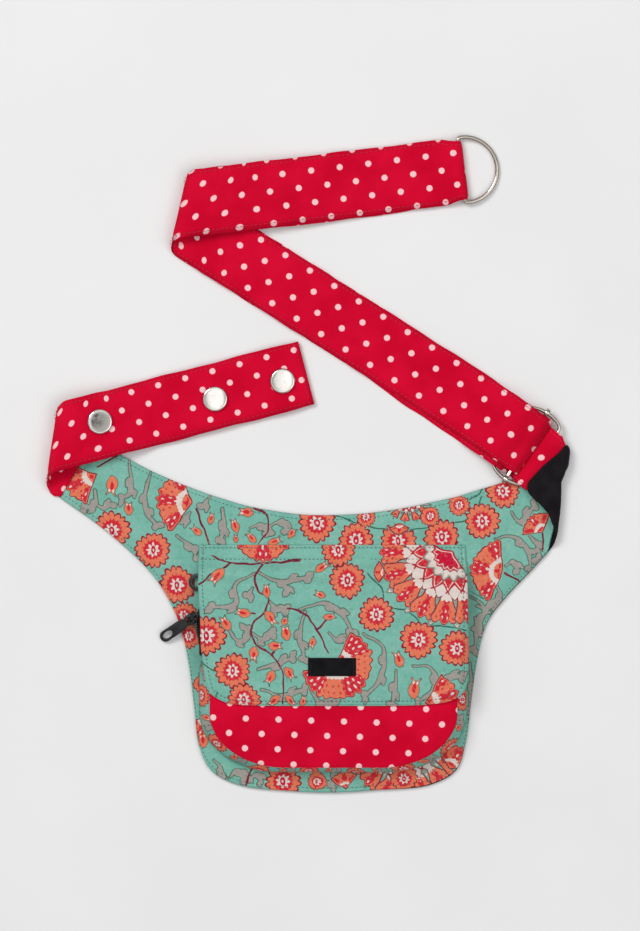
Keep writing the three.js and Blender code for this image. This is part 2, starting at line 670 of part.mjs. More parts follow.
framePath.quadraticCurveTo(SIDE_BAR, -FRAME.corner, SIDE_BAR, -FRAME.half);
const slidePlace = new THREE.Group();
slidePlace.position.set(SLIDE.x, SLIDE.y, SLIDE.height);
slidePlace.rotation.z = turn(STRAP_TOWARD);
group.add(slidePlace);
add("slide_frame", wireLoop(framePath, WIRE, FRAME.steps, FRAME.sides), NICKEL, slidePlace);

// The slide's bar ends in eyes crimped round the frame
const EYE = { wire: 0.6, steps: 16, sides: 6 };
const eyeReach = WIRE / 2 + GAP + EYE.wire;
const barHalf = FRAME.end - eyeReach;
let bar = solidOf(new THREE.CylinderGeometry(BAR / 2, BAR / 2, 2 * barHalf, 10));
[1, -1].forEach((end) => {
  const eye = new THREE.TorusGeometry(eyeReach, EYE.wire, EYE.sides, EYE.steps);
  eye.rotateY(Math.PI / 2).translate(0, end * FRAME.end, 0);
  bar = bar.add(solidOf(eye));
});
add("slide_bar", geometryOf(bar), NICKEL, slidePlace);

// The origin is the middle of the underside of the whole.
group.updateMatrixWorld(true);
const bounds = new THREE.Box3().setFromObject(group, true);
const middle = bounds.getCenter(new THREE.Vector3());
group.position.set(-middle.x, -middle.y, -bounds.min.z);
group.updateMatrixWorld(true);

export default group;
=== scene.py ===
import math

import bmesh
import bpy
import numpy as np
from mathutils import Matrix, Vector


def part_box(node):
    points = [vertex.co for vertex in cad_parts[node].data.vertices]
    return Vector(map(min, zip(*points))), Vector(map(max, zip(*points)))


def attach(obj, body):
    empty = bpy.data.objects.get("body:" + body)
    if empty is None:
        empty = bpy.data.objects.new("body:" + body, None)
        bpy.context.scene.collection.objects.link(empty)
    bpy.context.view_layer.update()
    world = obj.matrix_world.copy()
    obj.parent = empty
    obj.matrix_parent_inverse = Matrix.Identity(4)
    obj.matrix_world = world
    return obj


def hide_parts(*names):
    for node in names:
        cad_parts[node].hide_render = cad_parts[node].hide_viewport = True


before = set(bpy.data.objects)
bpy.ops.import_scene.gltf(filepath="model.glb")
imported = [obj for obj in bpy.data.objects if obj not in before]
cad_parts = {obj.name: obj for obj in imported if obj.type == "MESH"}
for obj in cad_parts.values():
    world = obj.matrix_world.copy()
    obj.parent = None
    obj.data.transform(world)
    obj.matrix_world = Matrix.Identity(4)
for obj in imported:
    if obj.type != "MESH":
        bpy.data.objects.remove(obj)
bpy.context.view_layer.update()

# Sizes are in millimetres on the cloth's own grid, and are carried to the frame by LABEL's known corner.
MM = 0.001
LABEL = {"left": -0.6, "right": 28.4, "high": -117.0, "low": -128.0, "thick": 0.6}
label_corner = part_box("label")[0]
FRAME_SHIFT = np.array([
    label_corner[0] / MM - LABEL["left"],
    label_corner[1] / MM - LABEL["low"],
    0.0,
])

GAP = 0.3
PANEL = 1.2
WALL = 1.4
STRAP = 1.4
WIRE = 2.3
RING_WIRE = 2.7
BAR = 2.2
DOME = 0.8
FRONT_UNDER = PANEL + GAP
FRONT_OVER = FRONT_UNDER + PANEL
POCKET_FOOT = FRONT_OVER + GAP
POCKET_DEEP = 11
POCKET_RIM = POCKET_FOOT + POCKET_DEEP
POCKET_OVER = POCKET_RIM + GAP + WALL
FLAP_REST = POCKET_OVER + DOME + GAP
LAYER = STRAP + GAP

# The print is charted at 1.65 units a millimetre, right and down from the chart's own corner.
CHART = 1.65
CHART_X = 309
CHART_Y = 464

TINY = 1e-9


# Small helpers
def ease(part):
    part = np.clip(part, 0, 1)
    return part * part * (3 - 2 * part)


def facing(degrees):
    return np.array([math.cos(math.radians(degrees)), math.sin(math.radians(degrees))])


def bell(values, middle, width):
    return np.exp(-((values - middle) / width) ** 2)


def leads(points):
    """Unit steps along a line of points."""
    ahead = np.gradient(points, axis=0)
    return ahead / np.maximum(np.linalg.norm(ahead, axis=1), TINY)[:, None]


def run_lengths(points):
    """How far along a line each of its points lies."""
    return np.concatenate([[0], np.cumsum(np.linalg.norm(np.diff(points, axis=0), axis=1))])


def eased(places, keys, values):
    keys = np.asarray(keys, float)
    values = np.asarray(values, float)
    after = np.clip(np.searchsorted(keys, places), 1, len(keys) - 1)
    part = ease((places - keys[after - 1]) / (keys[after] - keys[after - 1]))
    return values[after - 1] + (values[after] - values[after - 1]) * part


def through(points, places):
    """Points of a smooth curve through the given ones, at places counted in whole points."""
    points = np.asarray(points, float)
    ends = np.vstack([2 * points[0] - points[1], points, 2 * points[-1] - points[-2]])
    first = np.clip(np.floor(places).astype(int), 0, len(points) - 2)
    part = (places - first)[:, None]
    a, b, c, d = (ends[first + step] for step in range(4))

    def span(start, end):
        return np.sqrt(np.maximum(np.linalg.norm(end - start, axis=1), 1e-6))[:, None]

    before, within, after = span(a, b), span(b, c), span(c, d)
    leave = ((b - a) / before - (c - a) / (before + within) + (c - b) / within) * within
    reach = ((c - b) / within - (d - b) / (within + after) + (d - c) / after) * within
    square = 3 * (c - b) - 2 * leave - reach
    cube = 2 * (b - c) + leave + reach
    return b + leave * part + square * part**2 + cube * part**3


def evenly(points, spacing):
    """Points of a smooth curve, about evenly spaced."""
    rough = through(points, np.linspace(0, len(points) - 1, 24 * len(points)))
    far = run_lengths(rough)
    places = np.linspace(0, far[-1], max(3, math.ceil(far[-1] / spacing)))
    return np.stack([np.interp(places, far, rough[:, axis]) for axis in (0, 1)], axis=1)


def ripple(x, y, seed, length, amount):
    """A smooth uneven height from a few waves in fixed directions."""
    draw = np.random.default_rng(seed)
    waves = 7
    total = np.zeros(np.broadcast(x, y).shape)
    for _ in range(waves):
        angle = draw.uniform(0, 2 * math.pi)
        start = draw.uniform(0, 2 * math.pi)
        count = 2 * math.pi / (length * draw.uniform(0.7, 1.6))
        total += np.sin(count * (x * math.cos(angle) + y * math.sin(angle)) + start)
    return amount * total / math.sqrt(waves)


def roll(points, fold):
    """Cloth past a fold's line goes round the roll and lies back over itself."""
    across = facing(fold["toward"])
    past = (points[..., :2] - fold["at"]) @ across
    angle = np.clip(past / fold["radius"], 0, math.pi)
    arm = fold["axis"] - points[..., 2]
    reach = arm * np.sin(angle) - (past - angle * fold["radius"])
    slip = fold["slip"] * ease(angle / math.pi)
    moved = points.copy()
    moved[..., :2] += (reach - past)[..., None] * across
    moved[..., :2] += slip[..., None] * facing(fold["toward"] - 90)
    moved[..., 2] = fold["axis"] - arm * np.cos(angle)
    return np.where((past > 0)[..., None], moved, points)


# Meshes
def add_object(name, data):
    made = bpy.data.objects.new(name, data)
    bpy.context.scene.collection.objects.link(made)
    return made


def baked(source, name):
    """The plain mesh of an object with its modifiers; the object itself is taken away."""
    depsgraph = bpy.context.evaluated_depsgraph_get()
    mesh = bpy.data.meshes.new_from_object(source.evaluated_get(depsgraph))
    bpy.data.objects.remove(source)
    mesh.name = name
    return mesh


def placed(points):
    """Points carried to the frame, in metres."""
    return ((np.asarray(points, float).reshape(-1, 3) + FRAME_SHIFT) * MM).tolist()


def vertex_values(mesh, key):
    values = np.zeros(len(mesh.vertices) * 3)
    mesh.vertices.foreach_get(key, values)
    return values.reshape(-1, 3)


def signed_volume(mesh):
    mesh.calc_loop_triangles()
    points = vertex_values(mesh, "co")
    corners = np.zeros(len(mesh.loop_triangles) * 3, np.int32)
    mesh.loop_triangles.foreach_get("vertices", corners)
    a, b, c = points[corners.reshape(-1, 3)].transpose(1, 0, 2)
    return float((a * np.cross(b, c)).sum())


def new_piece(name, points, faces):
    """A closed smooth piece, its faces turned outward."""
    mesh = bpy.data.meshes.new(name)
    mesh.from_pydata(placed(points), [], faces)
    mesh.update()
    mesh.shade_smooth()
    if signed_volume(mesh) < 0:
        mesh.flip_normals()
    return add_object(name, mesh)


COARSE = 4


def cloth_piece(name, upper, lower, uv=None, values=None):
    """A closed wall of cloth: a fine upper grid, and a lower grid with one point in four each way."""
    rows, columns = upper.shape[:2]
    under = lower[::COARSE, ::COARSE]
    low_rows, low_columns = under.shape[:2]
    start = rows * columns
    fine = np.arange(start).reshape(rows, columns)
    rough = start + np.arange(low_rows * low_columns).reshape(low_rows, low_columns)

    def quads(grid):
        corners = (grid[:-1, :-1], grid[1:, :-1], grid[1:, 1:], grid[:-1, 1:])
        return np.stack([corner.ravel() for corner in corners], axis=1).tolist()

    faces = quads(fine) + [quad[::-1] for quad in quads(rough)]
    rims = (
        (fine[:, 0], rough[:, 0], True), (fine[:, -1], rough[:, -1], False),
        (fine[0], rough[0], False), (fine[-1], rough[-1], True),
    )
    for edge, below, flip in rims:
        for step in range(len(below) - 1):
            ring = edge[step * COARSE:(step + 1) * COARSE + 1].tolist()
            face = ring + [int(below[step + 1]), int(below[step])]
            faces.append(face[::-1] if flip else face)
    points = np.vstack([upper.reshape(-1, 3), under.reshape(-1, 3)])
    piece = new_piece(name, points, faces)
    mesh = piece.data
    if uv is not None:
        spots = np.vstack([uv.reshape(-1, 2), uv[::COARSE, ::COARSE].reshape(-1, 2)])
        corners = np.zeros(len(mesh.loops), np.int32)
        mesh.loops.foreach_get("vertex_index", corners)
        layer = mesh.uv_layers.new(name="cloth")
        layer.data.foreach_set("uv", (spots[corners] * MM).astype(np.float32).ravel())
    for key, value in (values or {}).items():
        whole = np.concatenate([value.ravel(), value[::COARSE, ::COARSE].ravel()])
        attribute = mesh.attributes.new(key, "FLOAT", "POINT")
        attribute.data.foreach_set("value", whole.astype(np.float32))
    return piece


def whole_steps(length, spacing):
    """A count of steps that the coarse side can share."""
    return COARSE * max(1, math.ceil(length / spacing / COARSE))


# Materials
def colour(red, green, blue):
    shares = np.array([red, green, blue]) / 255
    linear = np.where(shares <= 0.04045, shares / 12.92, ((shares + 0.055) / 1.055) ** 2.4)
    return (*linear.tolist(), 1.0)


def lighter(tone, step):
    return [min(255, value + step) for value in tone]


class Shading:
    """A tree of shader nodes, added one after the other; an input i0 is the node's first."""

    def __init__(self, tree):
        self.tree = tree

    def node(self, kind, settings=None, **inputs):
        made = self.tree.nodes.new(kind)
        for key, value in (settings or {}).items():
            setattr(made, key, value)
        for key, value in inputs.items():
            place = int(key[1:]) if key[0] == "i" and key[1:].isdigit() else key.replace("_", " ")
            socket = made.inputs[place]
            if isinstance(value, bpy.types.NodeSocket):
                self.tree.links.new(value, socket)
            else:
                socket.default_value = value
        return made

    def math(self, operation, first, second=0.0):
        return self.node("ShaderNodeMath", {"operation": operation}, i0=first, i1=second).outputs[0]

    def blend(self, share, under, over):
        made = self.node("ShaderNodeMix", {"data_type": "RGBA"}, i0=share, i6=under, i7=over)
        return made.outputs[2]

    def ramp(self, value, low, high, from_value=0.0, to_value=1.0):
        made = self.node("ShaderNodeMapRange", {"interpolation_type": "SMOOTHSTEP"}, i0=value,
                         i1=low, i2=high, i3=from_value, i4=to_value)
        return made.outputs[0]

    def noise(self, spot, scale, detail=3.0):
        made = self.node("ShaderNodeTexNoise", None, Vector=spot, Scale=scale, Detail=detail)
        return made.outputs[0]

    def spot(self, source="Object"):
        return self.node("ShaderNodeTexCoord").outputs[source]

    def mottled(self, spot, scale, tone, other, low=0.3, high=0.7):
        """Two tones in soft patches."""
        return self.blend(self.ramp(self.noise(spot, scale), low, high), colour(*tone), colour(*other))


class Finish(Shading):
    """A material: the nodes that lead to its shader."""

    def __init__(self, name, **sockets):
        self.material = bpy.data.materials.new(name)
        self.material.use_nodes = True
        super().__init__(self.material.node_tree)
        self.shader = self.tree.nodes["Principled BSDF"]
        for key, value in sockets.items():
            self.shader.inputs[key.replace("_", " ")].default_value = value

    def paint(self, value):
        self.tree.links.new(value, self.shader.inputs["Base Color"])

    def rough(self, value):
        self.tree.links.new(value, self.shader.inputs["Roughness"])

    def bump(self, height, strength, distance):
        made = self.node("ShaderNodeBump", None, Height=height, Strength=strength, Distance=distance)
        self.tree.links.new(made.outputs[0], self.shader.inputs["Normal"])

    def weave(self, spot, pitch):
        """Crossing threads: two wave bands at right angles, checked over and under."""
        parts = self.node("ShaderNodeSeparateXYZ", None, Vector=spot).outputs
        turns = math.pi / (pitch * MM)
        warp = self.math("SINE", self.math("MULTIPLY", parts[0], turns))
        weft = self.math("SINE", self.math("MULTIPLY", parts[1], turns))
        crossed = self.math("MULTIPLY", warp, weft)
        threads = self.math("MAXIMUM", self.math("ABSOLUTE", warp), self.math("ABSOLUTE", weft))
        return self.math("ADD", self.math("MULTIPLY", crossed, 0.35), threads)


COTTON = {"Roughness": 0.9, "Sheen_Weight": 0.02, "Sheen_Roughness": 0.5, "Specular_IOR_Level": 0.06}
PRINT_WEAVE = 0.42
DOTTED_WEAVE = 0.4
COTTON_BUMP = (0.35, 0.12 * MM)
BLACK_BUMP = (0.4, 0.15 * MM)
INK_EDGE = 0.14
# Layers of the print, each over those before it: name and colour
PRINT_LAYERS = (
    ("vine", (52, 104, 90)),
    ("leaf_edge", (74, 110, 96)),
    ("leaf", (156, 152, 145)),
    ("stem", (116, 34, 56)),
    ("edge", (134, 30, 48)),
    ("petal", (224, 118, 88)),
    ("blush", (204, 42, 56)),
    ("pale", (222, 209, 202)),
    ("core", (196, 22, 58)),
)


def print_cotton():
    made = Finish("print_cloth", **COTTON)
    spot = made.spot()
    ink = made.mottled(spot, 60.0, (114, 177, 161), (125, 185, 169))
    for layer, tone in PRINT_LAYERS:
        field = made.node("ShaderNodeAttribute", {"attribute_name": layer}).outputs["Fac"]
        share = made.ramp(field, -INK_EDGE, INK_EDGE, 1.0, 0.0)
        ink = made.blend(share, ink, colour(*tone))
    worn = made.ramp(made.noise(spot, 620.0, 4.0), 0.5, 0.78, 0.0, 0.2)
    ink = made.blend(worn, ink, colour(226, 214, 200))
    deep = made.ramp(made.noise(spot, 380.0, 4.0), 0.52, 0.8, 0.0, 0.22)
    made.paint(made.blend(deep, ink, colour(70, 60, 62)))
    made.bump(made.weave(spot, PRINT_WEAVE), *COTTON_BUMP)
    return made.material


DOT = 1.84
DOT_EDGE = 0.22


def dotted_cotton(name, along, rows):
    """Red cotton with white dots: rows half a step apart, on the cloth's own grid."""
    made = Finish(name, **COTTON)
    spot = made.spot("UV")
    parts = made.node("ShaderNodeSeparateXYZ", None, Vector=spot).outputs

    def lattice(shift):
        sides = []
        for place, step in ((0, along), (1, 2 * rows)):
            turns = made.math("ADD", made.math("DIVIDE", parts[place], step * MM), shift)
            centred = made.math("SUBTRACT", made.math("FRACT", turns), 0.5)
            side = made.math("MULTIPLY", centred, step)
            sides.append(made.math("MULTIPLY", side, side))
        return made.math("SQRT", made.math("ADD", *sides))

    wobble = made.math("MULTIPLY", made.math("SUBTRACT", made.noise(spot, 900.0), 0.5), 0.5)
    nearest = made.math("ADD", made.math("MINIMUM", lattice(0.5), lattice(0.0)), wobble)
    share = made.ramp(nearest, DOT - DOT_EDGE, DOT + DOT_EDGE, 1.0, 0.0)
    ground = made.mottled(spot, 45.0, (200, 2, 42), (214, 8, 50))
    made.paint(made.blend(share, ground, colour(247, 198, 202)))
    made.bump(made.weave(spot, DOTTED_WEAVE), *COTTON_BUMP)
    return made.material


def black_cotton(name, tone, pitch):
    made = Finish(name, **COTTON)
    spot = made.spot()
    made.paint(made.mottled(spot, 130.0, tone, lighter(tone, 8)))
    made.bump(made.weave(spot, pitch), *BLACK_BUMP)
    return made.material


def plated_metal(name, tone, low, high, metallic):
    made = Finish(name, Metallic=metallic)
    spot = made.spot()
    marks = made.noise(spot, 420.0, 6.0)
    made.paint(made.mottled(spot, 160.0, tone, lighter(tone, 10), 0.35, 0.65))
    made.rough(made.ramp(marks, 0.3, 0.75, low, high))
    made.bump(marks, 0.06, 0.05 * MM)
    return made.material


def sewing_thread(name, tone):
    made = Finish(name, Roughness=0.7, Sheen_Weight=0.2)
    made.paint(made.mottled(made.spot(), 900.0, tone, lighter(tone, 14)))
    return made.material


PRINT_COTTON = print_cotton()
STRAP_COTTON = dotted_cotton("strap_cloth", 17.5, 9.64)
POCKET_COTTON = dotted_cotton("pocket_cloth", 19.76, 8.97)
BLACK_COTTON = black_cotton("black_cloth", (24, 21, 24), 0.5)
TAPE_COTTON = black_cotton("zip_tape_cloth", (20, 20, 22), 0.8)
LABEL_COTTON = black_cotton("label_cloth", (18, 17, 19), 0.3)
NICKEL = plated_metal("nickel", (214, 210, 204), 0.05, 0.12, 1.0)
# The wires' nickel is a darker copy of the snaps' nickel: painted shade for the dimmer reflections and the
# contact shade on the round wires near the floor.
SHADED_WIRE_NICKEL = plated_metal("wire_nickel_painted_shade", (186, 178, 168), 0.12, 0.26, 1.0)
BLACK_METAL = plated_metal("black_metal", (34, 34, 35), 0.32, 0.5, 0.35)
TEETH_NYLON = plated_metal("zip_teeth", (22, 22, 24), 0.35, 0.5, 0.0)
DARK_THREAD = sewing_thread("dark_thread", (34, 62, 58))
RED_THREAD = sewing_thread("red_thread", (190, 6, 42))
BLACK_THREAD = sewing_thread("black_thread", (16, 15, 17))


def dress(piece, material, body, slot, *nodes):
    piece.data.materials.clear()
    piece.data.materials.append(material)
    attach(piece, body)
    if nodes:
        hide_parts(*nodes)
    return piece


# Geometry Nodes: small pieces set along lines, lengthwise with the line
def row_tree(name, kind):
    tree = bpy.data.node_groups.new(name, "GeometryNodeTree")
    face = tree.interface
    face.new_socket("Lines", in_out="INPUT", socket_type="NodeSocketGeometry")
    for size in ("Pitch", "Long", "Wide", "Tall"):
        face.new_socket(size, in_out="INPUT", socket_type="NodeSocketFloat")
    face.new_socket("Finish", in_out="INPUT", socket_type="NodeSocketMaterial")
    face.new_socket("Row", in_out="OUTPUT", socket_type="NodeSocketGeometry")

    def node(kind_name, settings=None):
        made = tree.nodes.new(kind_name)
        for key, value in (settings or {}).items():
            setattr(made, key, value)
        return made

    def join(source, out, target, into):
        tree.links.new(source.outputs[out], target.inputs[into])

    given = node("NodeGroupInput")
    curve = node("GeometryNodeMeshToCurve")
    spaced = node("GeometryNodeResampleCurve", {"mode": "LENGTH"})
    tangent = node("GeometryNodeInputTangent")
    turned = node("FunctionNodeAlignRotationToVector", {"axis": "X"})
    scale = node("ShaderNodeCombineXYZ")
    set_out = node("GeometryNodeInstanceOnPoints")
    realize = node("GeometryNodeRealizeInstances")
    soften = node("GeometryNodeSetShadeSmooth")
    finish = node("GeometryNodeSetMaterial")
    result = node("NodeGroupOutput")
    if kind == "thread":
        shape = node("GeometryNodeMeshUVSphere")
        shape.inputs["Segments"].default_value = 6
        shape.inputs["Rings"].default_value = 5
        shape.inputs["Radius"].default_value = 0.5
    else:
        shape = node("GeometryNodeMeshCube")
        shape.inputs["Size"].default_value = (1.0, 1.0, 1.0)
        soften.inputs["Shade Smooth"].default_value = False
    join(given, "Lines", curve, "Mesh")
    join(curve, "Curve", spaced, "Curve")
    join(given, "Pitch", spaced, "Length")
    join(tangent, "Tangent", turned, "Vector")
    for axis, size in zip("XYZ", ("Long", "Wide", "Tall")):
        join(given, size, scale, axis)
    join(spaced, "Curve", set_out, "Points")
    join(shape, "Mesh", set_out, "Instance")
    join(turned, "Rotation", set_out, "Rotation")
    join(scale, "Vector", set_out, "Scale")
    join(set_out, "Instances", realize, "Geometry")
    join(realize, "Geometry", soften, "Geometry")
    join(soften, "Geometry", finish, "Geometry")
    join(given, "Finish", finish, "Material")
    join(finish, "Geometry", result, "Row")
    return tree


THREAD_ROW = row_tree("thread_row", "thread")
TOOTH_ROW = row_tree("tooth_row", "tooth")


def row_piece(name, tree, lines, sizes, material, body, slot):
    """One mesh of all the small pieces along some lines."""
    edges = []
    start = 0
    for line in lines:
        edges += [(start + step, start + step + 1) for step in range(len(line) - 1)]
        start += len(line)
    guide = bpy.data.meshes.new(name + "_lines")
    guide.from_pydata(placed(np.vstack(lines)), edges, [])
    source = add_object(name + "_lines", guide)
    modifier = source.modifiers.new("row", "NODES")
    modifier.node_group = tree
    given = {**{key: value * MM for key, value in sizes.items()}, "Finish": material}
    for item in tree.interface.items_tree:
        if item.item_type == "SOCKET" and item.in_out == "INPUT" and item.name in given:
            modifier[item.identifier] = given[item.name]
    return dress(add_object(name, baked(source, name)), material, body, slot)


# Camera, light and floor
VIEW_WIDE = 0.3879
VIEW_AT = (0.0084, -0.0011)
CAMERA_HIGH = 4.5
camera = add_object("camera", bpy.data.cameras.new("camera"))
camera.data.sensor_fit = "HORIZONTAL"
camera.data.angle = 2 * math.atan(VIEW_WIDE / 2 / CAMERA_HIGH)
camera.location = (*VIEW_AT, CAMERA_HIGH)
bpy.context.scene.camera = camera

# Lamps: name, place and size in metres, power in watts
LIGHTS = (
    ("key_light", (-1.5, 1.5, 2.5), 1.4, 46.0),
    ("fill_light", (1.8, -0.5, 2.3), 2.2, 15.0),
)
for lamp_name, lamp_at, lamp_size, lamp_power in LIGHTS:
    lamp = bpy.data.lights.new(lamp_name, "AREA")
    lamp.shape = "DISK"
    lamp.size = lamp_size
    lamp.energy = lamp_power
    lamp_object = add_object(lamp_name, lamp)
    lamp_object.location = lamp_at
    lamp_object.rotation_euler = (-Vector(lamp_at)).to_track_quat("-Z", "Y").to_euler()

SKY_LOW = 0.22
SKY_HIGH = 1.1
SKY_FROM = 0.55
SKY_TO = 0.97
# Patches of ceiling near the point straight above, seen in the flat tops of the snaps: degrees to the right
# and up, reach and soft edge in degrees, and what the patch adds to the light
SKY_PATCHES = (
    (0.8, 0.8, 3.5, 1.0, 0.4),
    (-7.0, 0.0, 6.3, 0.25, -0.6),
    (8.0, 0.5, 5.0, 0.8, -0.55),
    (6.3, 1.5, 1.3, 0.9, -0.45),
)


def studio_sky():
    world = bpy.data.worlds.new("studio")
    world.use_nodes = True
    sky = Shading(world.node_tree)
    look = sky.spot("Generated")
    height = sky.node("ShaderNodeSeparateXYZ", None, Vector=look).outputs["Z"]
    light = sky.ramp(height, SKY_FROM, SKY_TO, SKY_LOW, SKY_HIGH)
    for right, up, reach, soft, added in SKY_PATCHES:
        aim = Vector((math.tan(math.radians(right)), math.tan(math.radians(up)), 1)).normalized()
        product = sky.node("ShaderNodeVectorMath", {"operation": "DOT_PRODUCT"}, i0=look, i1=aim)
        outer, inner = (math.cos(math.radians(reach + side * soft)) for side in (1, -1))
        light = sky.math("ADD", light, sky.ramp(product.outputs["Value"], outer, inner, 0.0, added))
    background = sky.tree.nodes["Background"]
    background.inputs["Color"].default_value = (1.0, 1.0, 1.0, 1.0)
    sky.tree.links.new(light, background.inputs["Strength"])
    return world


bpy.context.scene.world = studio_sky()
bpy.context.scene.view_settings.view_transform = "Standard"


def floor_paper():
    made = Finish("floor_paper", Roughness=0.95)
    made.paint(made.mottled(made.spot(), 8.0, (232, 232, 232), (235, 235, 235)))
    return made.material


FLOOR_HALF = 8.0
floor_mesh = bpy.data.meshes.new("floor")
floor_mesh.from_pydata(
    [(x * FLOOR_HALF, y * FLOOR_HALF, 0.0) for x, y in ((-1, -1), (1, -1), (1, 1), (-1, 1))],
    [], [(0, 1, 2, 3)],
)
floor_mesh.materials.append(floor_paper())
add_object("floor", floor_mesh)


# The printed cloth: each layer keeps how far a point lies outside its nearest printed shape.
FAR_OFF = 4.0
INK_WAVER = (12, 0.5)
DISC_STEP = 0.8
FLECK_RING = 6.5
FLECK_STEP = 5.5
# Lobes of a leaf: part of its length, side, reach and lean
LEAF_LOBES = ((0.42, 1, 1.7, 1.1), (0.66, -1, 2.0, 0.9), (0.96, 1, 2.0, 0.0), (0.99, -1, 1.7, 0.7))
LONG_LEAF = 26
# Rows of petals: reach, girth, shift in petals, layers of rim, fill and heart, and how deep the heart lies
LOTUS_ROWS = (
    (1.0, 0.16, 0.0, "leaf_edge", "leaf", "leaf", 3.4),
    (0.62, 0.13, 0.0, "edge", "pale", "petal", 3.0),
    (0.52, 0.11, 0.5, "edge", "blush", "petal", 3.2),
    (0.38, 0.1, 0.0, "leaf_edge", "leaf", "pale", 2.6),
    (0.26, 0.08, 0.5, "edge", "blush", "core", 3.0),
)
FAN_FOOT = 0.4
FAN_REACH = 0.56
FAN_SPREAD = 22


class Print:
    """Printed shapes, each laid over those before it, on a chart that wavers as ink on cloth does."""

    def __init__(self, x, y, seed):
        right = CHART_X + CHART * x
        down = CHART_Y - CHART * y
        self.x = right + ripple(right, down, seed, *INK_WAVER)
        self.y = down + ripple(right, down, seed + 1, *INK_WAVER)
        self.fields = {layer: np.full(x.shape, FAR_OFF) for layer, _ in PRINT_LAYERS}

    def near(self, x, y, reach):
        return np.nonzero((np.abs(self.x - x) < reach) & (np.abs(self.y - y) < reach))

    def put(self, layer, where, away):
        self.fields[layer][where] = np.minimum(self.fields[layer][where], away / CHART)

    def cover(self, where, outline):
        """Takes away what is printed under a new shape."""
        for field in self.fields.values():
            field[where] = np.maximum(field[where], -outline / CHART)

    def polar(self, x, y, reach):
        where = self.near(x, y, reach)
        right, down = self.x[where] - x, self.y[where] - y
        return where, np.hypot(right, down), np.arctan2(-down, right)

    def fan_polar(self, x, y, reach, toward):
        """As polar, with the angle counted from the way that the shape faces."""
        where, far, angle = self.polar(x, y, reach)
        return where, far, (angle - math.radians(toward) + math.pi) % (2 * math.pi) - math.pi

    def rosette(self, x, y, size, turn=0.0, petals=16):
        """A round flower: an outline, orange petals, red between them, and a pale star with a red ring."""
        where, far, angle = self.polar(x, y, size * 1.4)
        petal = np.abs(np.cos((angle - turn) * petals / 2)) ** 0.7
        uneven = 0.04 * np.cos(3 * angle + 5 * turn)
        rim = far - size * (0.8 + 0.22 * petal + uneven)
        self.cover(where, rim)
        self.put("edge", where, rim)
        self.put("petal", where, far - size * (0.68 + 0.24 * petal + uneven))
        self.put("blush", where, far - size * (0.78 - 0.28 * petal**0.4))
        star = np.abs(np.cos((angle - turn) * 4))
        self.put("pale", where, far - size * (0.17 + 0.23 * star))
        self.put("core", where, np.abs(far * (1 + 0.25 * np.cos(2 * angle)) - size * 0.12) - size * 0.055)

    def fan(self, x, y, size, toward, spread, sectors=5):
        """A carnation: a ragged fan of red and orange bands with flecks, and a pale crescent."""
        where, far, off = self.fan_polar(x, y, size * 1.3, toward)
        half = math.radians(spread)
        side = (np.abs(off) - half) * np.maximum(far, 1)
        teeth = np.abs(np.cos(off * 13)) * (0.65 + 0.35 * np.cos(off * 5))
        outline = np.maximum(far - size * (0.9 + 0.11 * teeth), side)
        self.cover(where, outline - 0.6)
        self.put("edge", where, outline)
        self.put("petal", where, outline + 1.1)
        bands = sectors * math.pi / half / 2
        band = -np.cos(off * bands) * far / bands
        red = np.maximum(band + 0.9 * np.sin(far * 0.9), outline + 2)
        self.put("blush", where, red)
        rings = np.floor(far / FLECK_RING)
        ring_far = (rings + 0.5) * FLECK_RING
        fleck_step = FLECK_STEP / np.maximum(ring_far, 6)
        fleck_off = (off / fleck_step + 0.5 * rings + 0.5) % 1 - 0.5
        fleck = np.hypot((far - ring_far) * 0.5, fleck_off * FLECK_STEP) - 1.0
        fleck = np.maximum(np.maximum(fleck, outline + 3), size * 0.46 - far)
        self.put("pale", where, np.maximum(fleck, red + 1))
        self.put("edge", where, np.maximum(fleck, 1 - red))
        self.put("blush", where, np.maximum(fleck + 0.2, 1 - red))
        lace = np.abs(far - size * 0.35) - size * (0.05 + 0.06 * teeth)
        self.put("pale", where, np.maximum(lace, side + 1))

    def discs(self, layers, spots, sizes):
        """Discs along a line, so close that they make one shape."""
        for (x, y), size in zip(spots, sizes):
            where = self.near(x, y, size + 5)
            far = np.hypot(self.x[where] - x, self.y[where] - y)
            for layer, grow in layers:
                self.put(layer, where, far - size - grow)

    def line(self, layer, points, wide, tip):
        spots = evenly(points, DISC_STEP)
        self.discs(((layer, 0),), spots, np.linspace(wide, tip, len(spots)))

    def scroll(self, points, wide):
        """A grey leaf along a curve: a thin stalk, a full middle, and lobes that lean and hook outward."""
        layers = (("leaf", 0), ("leaf_edge", 0.9))
        spots = evenly(points, DISC_STEP)
        ahead = leads(spots)
        swell = bell(np.linspace(0, 1, len(spots)), 0.6, 0.26)
        self.discs(layers, spots, wide * (0.26 + 0.5 * swell))
        lobes = LEAF_LOBES if len(spots) > LONG_LEAF else LEAF_LOBES[1:3]
        for part, hand, long, lean in lobes:
            place = min(int(part * len(spots)), len(spots) - 1)
            lead = ahead[place]
            side = hand * np.array([-lead[1], lead[0]])
            steps = np.linspace(0, 1, 9)[:, None]
            bent = side * (steps - 0.3 * steps**3) + lead * (lean * steps**1.5)
            full = 0.42 + 0.55 * np.sin(math.pi * np.minimum(1.25 * steps[:, 0], 1)) ** 1.3
            self.discs(layers, spots[place] + wide * long * bent, wide * full)

